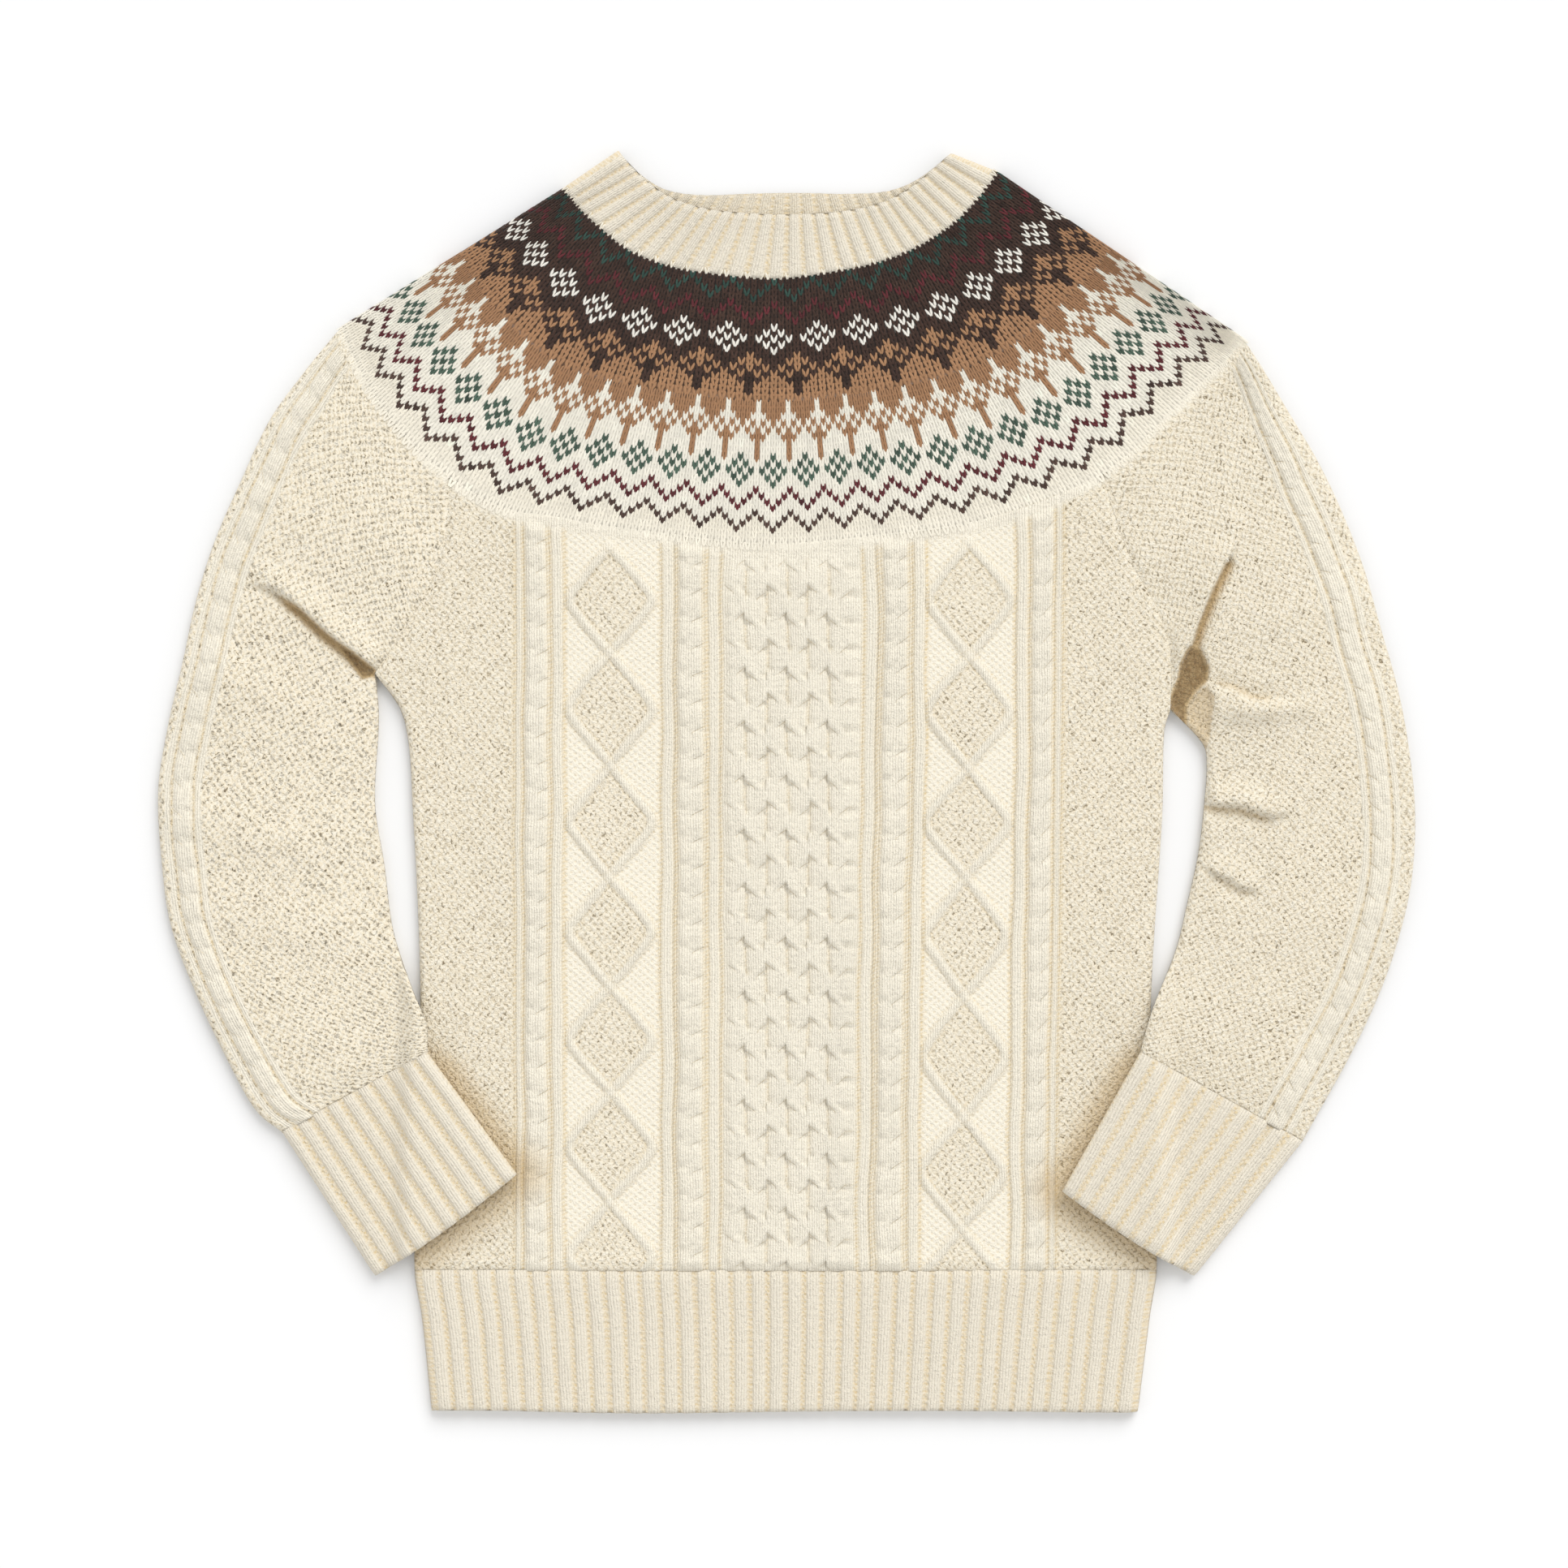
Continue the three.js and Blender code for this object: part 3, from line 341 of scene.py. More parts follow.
def folds(x, y):
    """Height of the sleeves' folds, and how far into the painted shade of a crease or of a hollow under an arm each
    point lies.
    """
    height, painted_shade = np.zeros_like(x), np.full_like(x, -FAR)
    for x1, y1, x2, y2, width, tall in zip(*RIDGES.values()):
        away, _ = along_line(x, y, ((x1, y1), (x2, y2)))
        height = np.maximum(height, tall * hill(away / width))
    for line, (ridge, valley, dark, side, soft) in zip(CREASES, CREASE_SIZES):
        away, place = along_line(x, y, line)
        away = away * side
        strength = smoothstep(place, 0, 0.4)
        over = ridge * strength * hill((away - 4) / 8) * smoothstep(away, -0.6, 1.6)
        trough = hill(np.where(away > -1.0, (away + 1.0) / 1.5, (away + 1.0) / (2.6 * soft))) * strength
        height = height + over - valley * trough
        # Painted shade along the crease's valley
        painted_shade = np.maximum(painted_shade, (dark + FAR) * strength - FAR - np.where(away > -1.0, 0.7, 0.5 / soft) * np.abs(away + 1.0))
    for depth, dark, outline in POCKETS:
        distance = within(x, y, outline)
        height = height - depth * smoothstep(distance, -0.8, 1.8)
        painted_shade = np.maximum(painted_shade, np.minimum(distance, dark))
    return height, np.clip(painted_shade, -FAR, FAR)


# Sheets, shells and meshes

# What the material reads at each point, with the amounts of painted shade for furrows and for creases and deep places,
# and where painted shadow lines go at strand crossings
FIELDS = ("wale", "course", "hollow", "painted_shade", "moss", "purl", "edge", "turn")


class Cloth:
    """One piece of cloth as points and faces, with what its material reads at each point."""

    def __init__(self):
        self.points, self.fields, self.quads, self.triangles = [], [], [], []
        self.rim_triangles, self.quad_colours, self.count = [], [], 0

    def sheet(self, x, y, z, fields=None):
        """Adds a sheet of columns of points, and returns the points' numbers."""
        shape = x.shape
        fields = fields or {}
        index = self.count + np.arange(x.size).reshape(shape)
        self.points.append(np.stack([x, y, z], -1).reshape(-1, 3))
        plain = {"wale": x / WALE, "course": -y / COURSE, "edge": FAR, "painted_shade": -FAR}
        self.fields.append(np.stack(
            [np.broadcast_to(fields.get(name, plain.get(name, 0.0)), shape) for name in FIELDS], -1,
        ).reshape(-1, len(FIELDS)))
        self.count += x.size
        return index

    def cover(self, index, colours=None):
        """Faces over a sheet, columns from left to right and rows downwards."""
        a, b = index[:-1], index[1:]
        quads = np.stack([a[:, :-1], a[:, 1:], b[:, 1:], b[:, :-1]], -1).reshape(-1, 4)
        self.quads.append(quads)
        if colours is not None:
            self.quad_colours.append(colours.reshape(-1, 3))

    def join(self, left, right, left_at, right_at, rim=True):
        """A strip of triangles between two rows of points with their own spacing."""
        i = j = 0
        made = []
        while i < len(left) - 1 or j < len(right) - 1:
            if j == len(right) - 1 or (i < len(left) - 1 and left_at[i + 1] <= right_at[j + 1]):
                made.append((left[i], left[i + 1], right[j]))
                i += 1
            else:
                made.append((left[i], right[j + 1], right[j]))
                j += 1
        (self.rim_triangles if rim else self.triangles).extend(made)

    def shell(self, outer, inner, outer_across, inner_across, outer_along, inner_along, closed):
        """Joins an outer and an inner sheet into one wall, closed round or with two free sides."""
        self.cover(inner[::-1])
        self.join(outer[:, 0], inner[:, 0], outer_across, inner_across)
        self.join(inner[:, -1], outer[:, -1], inner_across, outer_across)
        if not closed:
            self.join(inner[0], outer[0], inner_along, outer_along)
            self.join(outer[-1], inner[-1], outer_along, inner_along)

    def mesh(self, name, material, slot, replaces=(), colours=None, rim_colour=None):
        points = np.concatenate(self.points)
        points[:, 0] -= ORIGIN_X
        quads = np.concatenate(self.quads)
        triangles = np.array(self.triangles + self.rim_triangles, int).reshape(-1, 3)
        mesh = bpy.data.meshes.new(name)
        mesh.vertices.add(len(points))
        mesh.vertices.foreach_set("co", (points * MILLIMETRE).astype(np.float32).ravel())
        loops = np.concatenate([quads.ravel(), triangles.ravel()])
        mesh.loops.add(len(loops))
        mesh.loops.foreach_set("vertex_index", loops.astype(np.int32))
        sizes = np.concatenate([np.full(len(quads), 4), np.full(len(triangles), 3)])
        mesh.polygons.add(len(sizes))
        starts = np.concatenate([[0], np.cumsum(sizes)[:-1]])
        mesh.polygons.foreach_set("loop_start", starts.astype(np.int32))
        smooth = np.ones(len(sizes), bool)
        if self.rim_triangles:
            smooth[-len(self.rim_triangles):] = False
        mesh.polygons.foreach_set("use_smooth", smooth)
        mesh.update(calc_edges=True)
        fields = np.concatenate(self.fields)
        for column, field in enumerate(FIELDS):
            layer = mesh.attributes.new(field, "FLOAT", "POINT")
            layer.data.foreach_set("value", fields[:, column].astype(np.float32))
        if colours is not None or self.quad_colours:
            layer = mesh.color_attributes.new("yarn", "FLOAT_COLOR", "CORNER")
            if colours is None:
                colours = np.concatenate([
                    np.repeat(np.concatenate(self.quad_colours), 4, 0),
                    np.tile(linear(rim_colour), (3 * len(triangles), 1)),
                ])
            colours = np.concatenate([colours, np.ones((len(colours), 1))], 1)
            layer.data.foreach_set("color", colours.astype(np.float32).ravel())
        mesh.materials.append(material)
        mesh.validate()
        piece = bpy.data.objects.new(name, mesh)
        bpy.context.scene.collection.objects.link(piece)
        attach(piece, "root")
        if replaces:
            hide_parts(*replaces)
        return piece


def linear(colour):
    """A colour as light, from its 0 to 255 values on a screen."""
    value = np.array(colour, float) / 255
    return np.where(value <= 0.04045, value / 12.92, ((value + 0.055) / 1.055) ** 2.4)


# Stitch forms on a sheet: each gives a height over the plain cloth and what the material reads

def blank(shape):
    form = {name: np.zeros(shape) for name in ("height", "hollow", "moss", "purl", "turn")}
    form["edge"], form["painted_shade"] = np.full(shape, FAR), np.full(shape, -FAR)
    return form


def put(form, mask, **values):
    for name, value in values.items():
        form[name] = np.where(mask, value, form[name])


def strands(across, side, moving, reach, thick, behind):
    """Two strands that swap sides: how high they stand, the distance out from the front one's lower
    edge, and how near the crossing is, from 0 to 1."""
    crossing = 1 - side * side
    from_front, from_back = across - reach * side, across + reach * side
    front = dome(from_front / thick)
    back = (1 - behind * crossing) * dome(from_back / thick)
    # The material paints a shadow line along this lower edge
    edge = np.clip(from_front * moving - thick * 0.95, -FAR, FAR)
    return np.maximum(front, back), edge, crossing


def rope(across, along, half_width, turn, tall):
    """Two strands that wind round each other, the front one leaning to the right."""
    f = along / turn - np.floor(along / turn)
    side = 1 - 2 * smoothstep(f, 0.3, 0.7)
    height, edge, crossing = strands(across, side, 1, half_width / 2, 0.6 * half_width, 0.85)
    between = np.sin(np.pi * np.mod(f + 0.5, 1))
    flat = (0.3 + 0.62 * between * (1 - crossing)) * dome(across / (1.06 * half_width)) ** 1.1
    height = np.maximum(height * (0.72 + 0.28 * between), flat) * smoothstep(half_width - np.abs(across), -0.3, 2.4)
    return tall * height, edge, smoothstep(crossing, 0.02, 0.3)


def rails(form, x, middle, ribs, start):
    """Thin knitted ribs side by side between two furrows."""
    across = x - middle
    pitch = 2.8
    reach = ribs * pitch / 2
    nearest = (np.floor(across / pitch + ribs / 2) + 0.5 - ribs / 2) * pitch
    inside = np.abs(across) < reach
    rail = dome((across - nearest) / (0.56 * pitch))
    rail = (0.35 + 0.65 * rail) * smoothstep(reach - np.abs(across), -0.1, 1.1)
    put(form, inside, height=RAIL_RAISE * rail * start, purl=0.0,
        wale=across / pitch + ribs / 2 + np.round(middle / WALE - ribs / 2))
    # Painted shade along the furrows beside the ribs, with a slight dip in height
    furrow = hill((np.abs(across) - reach - 0.9) / 1.1) * start
    form["hollow"] = np.maximum(form["hollow"], furrow)
    form["height"] = form["height"] - 0.1 * furrow


def relief_front(x, y, top):
    """Every raised stitch on the front, at chart places x and heights y below the yoke's edge."""
    form = blank(x.shape)
    form["wale"], form["course"] = x / WALE, -y / COURSE
    start = smoothstep(top - y, 2.5, 8)
    moss = np.maximum(smoothstep(-x, -CABLES_FROM_X, -CABLES_FROM_X + 1), smoothstep(x, CABLES_TO_X, CABLES_TO_X + 1))
    form["moss"] = moss * smoothstep(top - y, 3, 7)

    for middle, crossings in DIAMONDS:
        panel = (x - middle > -27.8 if middle < 0 else x - middle > -22.6) & (x - middle < (26.9 if middle < 0 else 24.6))
        put(form, panel, purl=start)
        down = np.array(crossings, float)[::-1]
        turn = np.interp(y, down, np.arange(len(down))[::-1].astype(float))
        above = np.clip((y - crossings[0]) / 58, 0, 1)
        f = turn - np.floor(turn)
        open_ = 1 - np.abs(2 * f - 1)
        apart = DIAMOND_HALF_WIDTH * (1 - np.hypot(1 - open_, 0.12)) / 0.88
        apart = np.where(y > crossings[0], DIAMOND_HALF_WIDTH * above, np.maximum(apart, 0))
        slope = np.where(open_ > 0.9, 1.0, 1.12)
        inside = panel & (np.abs(x - middle) < apart) & (y < crossings[0])
        put(form, inside, height=DIAMOND_FILL * smoothstep(apart - np.abs(x - middle), 0, 6), moss=0.9, purl=0.0)
        whole = np.floor(turn).astype(int)
        over = np.where(whole % 2 == 0, 1.0, -1.0)
        under_line = np.zeros_like(x)
        begin = smoothstep(crossings[0] + 5 - y, 0, 9)
        for side in (-1, 1):
            line = x - middle - side * apart
            near = np.abs(line) < DIAMOND_LINE * slope
            leans_down_right = np.where(f < 0.5, side > 0, side < 0)
            dip = np.where(leans_down_right, 0.0, 0.55 * hill(apart / 3.2))
            height = (DIAMOND_RAISE - dip) * dome(line / (DIAMOND_LINE * slope)) ** 3.4
            height = height * (1 - 0.14 * hill(line / 0.5)) * start * begin
            better = near & (height > form["height"] - 0.2) & (y < crossings[0] + 5)
            put(form, panel & better, height=height, moss=0.0, purl=form["purl"] * (1 - begin))
            # Painted shade along the outsides of the diamond's lines
            beside = hill((np.abs(line) - DIAMOND_LINE * slope) / 0.9) * begin
            form["hollow"] = np.where(panel, np.maximum(form["hollow"], 0.42 * beside), form["hollow"])

    left = HONEYCOMB_MIDDLE - HONEYCOMB_LINES * HONEYCOMB_PITCH / 2
    block = np.clip(np.floor((x - left) / HONEYCOMB_PITCH), 0, HONEYCOMB_LINES - 1)
    parity = np.where(block % 2 == 0, 1.0, -1.0)
    width = HONEYCOMB_LINES * HONEYCOMB_PITCH
    across = np.clip(x - left, 0.01, width - 0.01) - (block + 0.5) * HONEYCOMB_PITCH
    beside = smoothstep(x - left, -1.5, 4) * (1 - smoothstep(x - left - width, -1, 9))
    inside = (x > left - 1.5) & (x < left + width + 9)
    t = (HONEYCOMB_TOP_Y + 1.7 * parity - y) / (HONEYCOMB_TURN / 2) + 0.5
    moving = np.where(np.floor(t) % 2 == 0, 1, -1) * parity
    swing = moving * (1 - 2 * smoothstep(t - np.floor(t), 0.3, 0.7))
    honey, cell_edge, crossing = strands(across, swing, moving, HONEYCOMB_PITCH / 4, 3.3, 0.6)
    honey = np.maximum(honey, 0.92 * (1 - crossing))
    together = np.sign(across) * swing  # 1 where two front strands meet at the block's edge, -1 at a cell's seam
    edge = HONEYCOMB_PITCH / 2 - np.abs(across)
    edge = np.where((np.abs(x - HONEYCOMB_MIDDLE) > 2.5 * HONEYCOMB_PITCH) & (np.sign(across) == np.sign(x)), 99, edge)
    seam = smoothstep(-together, 0.1, 0.8)
    honey = honey - 0.4 * seam * hill(edge / 1.2) + 0.3 * together * hill(edge / 4)
    honey_start = smoothstep(HONEYCOMB_TOP_Y + 7 - y, 0, 8)
    # The edge and turn fields place painted shadow arcs under the front strands' lower edges
    put(form, inside, height=HONEYCOMB_RAISE * lerp(0.7, honey, honey_start) * smoothstep(top - y, 2, 20) * beside,
        edge=cell_edge, turn=smoothstep(crossing, 0.02, 0.3) * honey_start * beside)
    # Painted shade along the cells' seams
    form["hollow"] = np.where(
        inside, np.maximum(form["hollow"], 0.62 * seam * hill(edge / 0.6) * honey_start), form["hollow"])

    for middle, half_width in ROPES:
        across = x - middle
        inside = np.abs(across) < half_width
        height, edge, turn = rope(across, top - y - 6, half_width, ROPE_TURN, ROPE_RAISE)
        put(form, inside, height=height * start, purl=0.0, edge=edge, turn=turn * start)
        # Painted shade in the furrows beside the rope
        furrow = hill((np.abs(across) - half_width) / 0.8) * start
        form["hollow"] = np.maximum(form["hollow"], 0.7 * furrow)
    for middle in DOUBLE_RIBS:
        rails(form, x, middle, 2, start)
    for middle in SINGLE_RIBS:
        rails(form, x, middle, 1, start)
    form["height"] = form["height"] * lerp(0.3, 1, smoothstep(y - HEM_SEAM_Y, -0.5, 5))
    return form


# Plans of the pieces

def yoke_length(repeat):
    return np.hypot(station["neckX"](repeat) - station["edgeX"](repeat), station["neckY"](repeat) - station["edgeY"](repeat))


def yoke_plan(repeat, v, rise=0.0):
    x = lerp(station["neckX"](repeat), station["edgeX"](repeat), v)
    return x, lerp(station["neckY"](repeat) + rise, station["edgeY"](repeat), v)


EDGE_REPEATS = np.linspace(FIRST_REPEAT, LAST_REPEAT, 600)
EDGE_X, EDGE_Y = yoke_plan(EDGE_REPEATS, 1.0)


def body_top(x):
    return np.interp(x, EDGE_X, EDGE_Y)


def corner(raglan, low, high):
    """The repeat where an armhole seam leaves the yoke's edge."""
    near = (EDGE_REPEATS > low) & (EDGE_REPEATS < high)
    gap = np.abs(raglan(EDGE_Y) - EDGE_X)
    return EDGE_REPEATS[near][np.argmin(gap[near])]


LEFT_CORNER = corner(left_raglan, -9, -6)
RIGHT_CORNER = corner(right_raglan, 6, 9)


def body_edge(y, side):
    """The body's edge at a height: the armhole seam, or below the underarm the side seam."""
    if side < 0:
        return np.where(y > LEFT_UNDERARM_Y, left_raglan(y), left_side(y))
    return np.where(y > RIGHT_UNDERARM_Y, right_raglan(y), right_side(y))


def leaning(x, y):
    lean = LEAN_AT_HEM * np.clip((x - LEAN_FROM_X) / LEAN_BLEND, 0, 1)
    wander = 0.75 * waves(x * 1.4, y, 52, 31) * smoothstep(150 - np.abs(x), 0, 12)
    return x + lean * smoothstep(-y, -HONEYCOMB_TOP_Y, -HEM_SEAM_Y) + wander


SIDE_TURN = 12.0
TUCK = 1.2  # the front's top edge is tucked this far under the yoke


def body_columns(chart, zone, rows, tuck=TUCK):
    """Plan of columns over the front: in the cables at a chart place, beside them as a part of the way
    from the body's edge to the first cable."""
    x = np.where(zone == 0, chart, np.where(zone < 0, -170, 165))[:, None] + 0 * rows[None, :]
    for _ in range(4):
        top = body_top(x[:, :1]) + tuck
        y = lerp(top, HEM_SEAM_Y, rows[None, :])
        left = body_edge(y, -1)
        right = body_edge(y, 1)
        moss_left = lerp(left, leaning(np.full_like(y, CABLES_FROM_X), y), chart[:, None])
        moss_right = lerp(right, leaning(np.full_like(y, CABLES_TO_X), y), chart[:, None])
        cables = leaning(np.broadcast_to(chart[:, None], y.shape), y)
        x = np.where(zone[:, None] == 0, cables, np.where(zone[:, None] < 0, moss_left, moss_right))
    return x, y


def edge_height(x, y, layer):
    """The body's rounded side below the underarm, and its plain cut beside the sleeve above it."""
    height = np.full_like(x, HALF_THICK)
    for side, underarm in ((-1, LEFT_UNDERARM_Y), (1, RIGHT_UNDERARM_Y)):
        away = np.abs(x - body_edge(y, side))
        turned = smoothstep(underarm - y, 0, SIDE_TURN)
        height = np.minimum(height, lerp(HALF_THICK, round_edge(away), turned))
    return height


def spread(*parts):
    """Places along a line: each part is (from, to, spacing)."""
    places = []
    for low, high, spacing in parts:
        count = max(int(round(abs(high - low) / spacing)), 1)
        places.append(np.linspace(low, high, count + 1)[:-1])
    return np.concatenate(places + [[parts[-1][1]]])


def cable_columns():
    """Places across the cables, with one on every furrow and crest."""
    marks = [CABLES_FROM_X, CABLES_TO_X]
    for middle in DOUBLE_RIBS:
        marks += [middle + side * place for side in (-1, 1) for place in (0, 0.7, 1.4, 2.1, 2.8, 3.7, 4.6)]
    for middle in SINGLE_RIBS:
        marks += [middle + side * place for side in (-1, 1) for place in (0, 0.7, 1.4, 2.3)]
    for middle, half_width in ROPES:
        marks += [middle + side * (half_width + place) for side in (-1, 1) for place in (-1.2, -0.5, 0)]
    for block in range(HONEYCOMB_LINES + 1):
        marks += [HONEYCOMB_MIDDLE + (block - HONEYCOMB_LINES / 2) * HONEYCOMB_PITCH + place for place in (-0.6, 0, 0.6)]
    marks = np.unique(np.round(np.clip(marks, CABLES_FROM_X, CABLES_TO_X), 2))
    marks = marks[np.concatenate([[True], np.diff(marks) > 0.25])]
    return spread(*[(low, high, min(1.08, high - low)) for low, high in zip(marks[:-1], marks[1:])])


def cuff_shadow_and_press(x, y):
    """How close the front lies to a cuff on top of it, from 0 to 1; it sets both the painted shadow of the cuffs on the
    front and a slight dip.
    """
    near = np.zeros_like(x)
    for (ax, ay), (bx, by), (cx, cy), (dx, dy) in (LEFT_CUFF, RIGHT_CUFF):
        beside, _ = along_line(x, y, ((bx, by + 30), (bx, by), (dx, dy)))
        below, _ = along_line(x, y, ((dx, dy), (cx, cy)))
        near = np.maximum(near, np.maximum(hill(beside / 17), hill(below / 25)) * smoothstep(by + 26 - y, 0, 34))
    return near


def body_front(material):
    moss = spread((0.0, 0.012, 0.004), (0.012, 0.06, 0.012), (0.06, 1.0, 0.038))[:-1]
    cables = cable_columns()
    chart = np.concatenate([moss, cables, moss[::-1]])
    zone = np.concatenate([np.full(len(moss), -1), np.zeros(len(cables)), np.full(len(moss), 1)])
    rows = np.linspace(0, 1, int(97000 / len(chart)))
    x, y = body_columns(chart, zone, rows)
    chart_x = np.where(zone[:, None] == 0, chart[:, None], 2 * x - leaning(x, y))
    form = relief_front(chart_x, y, body_top(x))
    near_edge = np.minimum(np.abs(x - body_edge(y, -1)), np.abs(x - body_edge(y, 1)))
    seam = 0.9 * hill(near_edge / 2.2) * smoothstep(y, 20, 60)
    puff = 0.7 * waves(x, y, 95, 3) * smoothstep(near_edge, 0, 30)
    z = HALF_THICK + edge_height(x, y, 1) + form["height"] * smoothstep(near_edge, 0, 4) + puff - seam
    z = z - 0.25 * smoothstep(y - body_top(x), -0.4, 0.6)
    # Painted shadow that the cuffs cast on the front, reaching below them
    form["painted_shade"] = lerp(-1.3, 0.3, cuff_shadow_and_press(x, y))
    z = z - 0.8 * cuff_shadow_and_press(x, y) * smoothstep(near_edge, 0, 8)
    z = z + 0.5 * hill((y - HEM_SEAM_Y - 5) / 4) - 0.4 * hill((y - HEM_SEAM_Y) / 1.6)
    cloth = Cloth()
    outer = cloth.sheet(x, y, z, form)
    cloth.cover(outer)
    inner_chart = np.concatenate([[0.05, 0.3, 0.6], np.linspace(CABLES_FROM_X, CABLES_TO_X, 16), [0.6, 0.3, 0.05]])
    inner_zone = np.concatenate([[-1] * 3, [0] * 16, [1] * 3])
    inner_rows = np.linspace(0, 1, 24)
    ix, iy = body_columns(inner_chart, inner_zone, inner_rows)
    inner = cloth.sheet(ix, iy, np.full_like(ix, HALF_THICK + SLACK))
    cloth.shell(outer, inner, x[:, 0], ix[:, 0], rows, inner_rows, False)
    return cloth.mesh("front_panel", material, "cream_knit", ["body_front"])


def body_back(material):
    chart = np.concatenate([[0.0, 0.02, 0.06, 0.3, 0.6], np.linspace(CABLES_FROM_X, CABLES_TO_X, 60), [0.6, 0.3, 0.06, 0.02, 0.0]])
    zone = np.concatenate([[-1] * 5, [0] * 60, [1] * 5])
    rows = np.linspace(0, 1, 60)
    x, y = body_columns(chart, zone, rows, 0.0)
    form = blank(x.shape)
    form["moss"] = np.where((x < CABLES_FROM_X) | (x > CABLES_TO_X), 1.0, 0.0)
    cloth = Cloth()
    inner = cloth.sheet(x, y, np.full_like(x, HALF_THICK - SLACK))
    outer = cloth.sheet(x, y, HALF_THICK - edge_height(x, y, -1), form)
    cloth.cover(inner)
    cloth.cover(outer[::-1])
    for a, b in ((inner[:, 0], outer[:, 0]), (outer[:, -1], inner[:, -1]), (outer[0], inner[0]), (inner[-1], outer[-1])):
        cloth.join(a, b, np.arange(len(a)), np.arange(len(b)))
    return cloth.mesh("back_panel", material, "cream_knit", ["body_back"])


def ribbing(across, ribs, along, tall=RIB_RAISE, half=0.345):
    """Two by two rib: across runs from 0 to 1 over all the ribs."""
    phase = across * ribs
    local = phase - np.floor(phase) - 0.5
    rib = dome(local / half)
    groove = 0.12 * hill(local / 0.05)
    uneven = 1 + 0.12 * waves(across * 300, along, 40, 8)
    form = {
        "height": tall * (np.clip(rib, 0, 1) ** 0.8 - groove) * uneven,
        # painted shade in the furrows between the ribs
        "hollow": 0.8 * smoothstep(np.abs(local), half - 0.03, half + 0.08),
        "purl": smoothstep(np.abs(local), half - 0.02, half + 0.02),
        "moss": np.zeros_like(across),
        "wale": local / (half * 0.98) + 2 * np.floor(phase) + 40,
        "course": along / COURSE,
    }
    return form


def hem_rib(name, layer, material):
    spacing = 0.7 if layer > 0 else 6.0
    from_fold = spread((0, 0.012, 0.003), (0.012, 0.988, spacing / 394), (0.988, 1.0, 0.003))
    rows = np.linspace(0, 1, 36 if layer > 0 else 8)
    y = lerp(HEM_SEAM_Y + (0.6 if layer > 0 else 0), HEM_END_Y, rows)[None, :] + 0 * from_fold[:, None]
    bow = 1.2 * waves(from_fold[:, None] * 394 + 0 * y, 0 * y, 120, 12) * rows[None, :] ** 2
    width = right_side(y) - left_side(y)
    x = lerp(left_side(y), right_side(y), from_fold[:, None])
    away = np.minimum(from_fold, 1 - from_fold)[:, None] * width
    form = ribbing(np.clip((from_fold[:, None] - 0.008) / 0.984, 0, 0.99999) + 0 * y, HEM_RIBS, -y)
    height = round_edge(away)
    if layer > 0:
        height = height + form["height"] * smoothstep(away, 0, 3) * (1 - 0.75 * hill(rows[None, :] / 0.05))
        height = height - 1.0 * hill((1 - rows[None, :]) / 0.02) - 0.5 * hill(rows[None, :] / 0.02)
    else:
        form = {"purl": 1.0}
        bow = 0 * y
    cloth = Cloth()
    outer = cloth.sheet(x, y + bow, HALF_THICK + layer * height, form)
    inner_across = np.linspace(0.008, 0.992, 20)
    inner_rows = np.linspace(0, 1, 4)
    iy = lerp(HEM_SEAM_Y, HEM_END_Y, inner_rows)[None, :] + 0 * inner_across[:, None]
    ix = lerp(left_side(iy), right_side(iy), inner_across[:, None])
    inner = cloth.sheet(ix, iy, np.full_like(ix, HALF_THICK + layer * SLACK), {"purl": 1.0})
    if layer > 0:
        cloth.cover(outer)
        cloth.shell(outer, inner, from_fold, inner_across, rows, inner_rows, False)
    else:
        cloth.cover(outer[::-1])
        cloth.shell(outer[::-1], inner[::-1], -from_fold[::-1], -inner_across[::-1], rows, inner_rows, False)
    return cloth.mesh(name, material, "cream_rib", ["hem_rib_front" if layer > 0 else "hem_rib_back"])


# A flattened tube, from one fold over the front to the other and back underneath

QUARTER = np.array([0, 0.15, 0.6, 1.3, 2.2])


def tube_places(count):
    """Part of the way from fold to fold, and distance from the fold in millimetres, of each column."""
    middle = np.linspace(0, 1, count)
    part = np.concatenate([0 * QUARTER, middle, 0 * QUARTER + 1])
    offset = np.concatenate([QUARTER, HALF_THICK * (1 - 2 * middle), -QUARTER[::-1]])
    return part[:, None], offset[:, None]


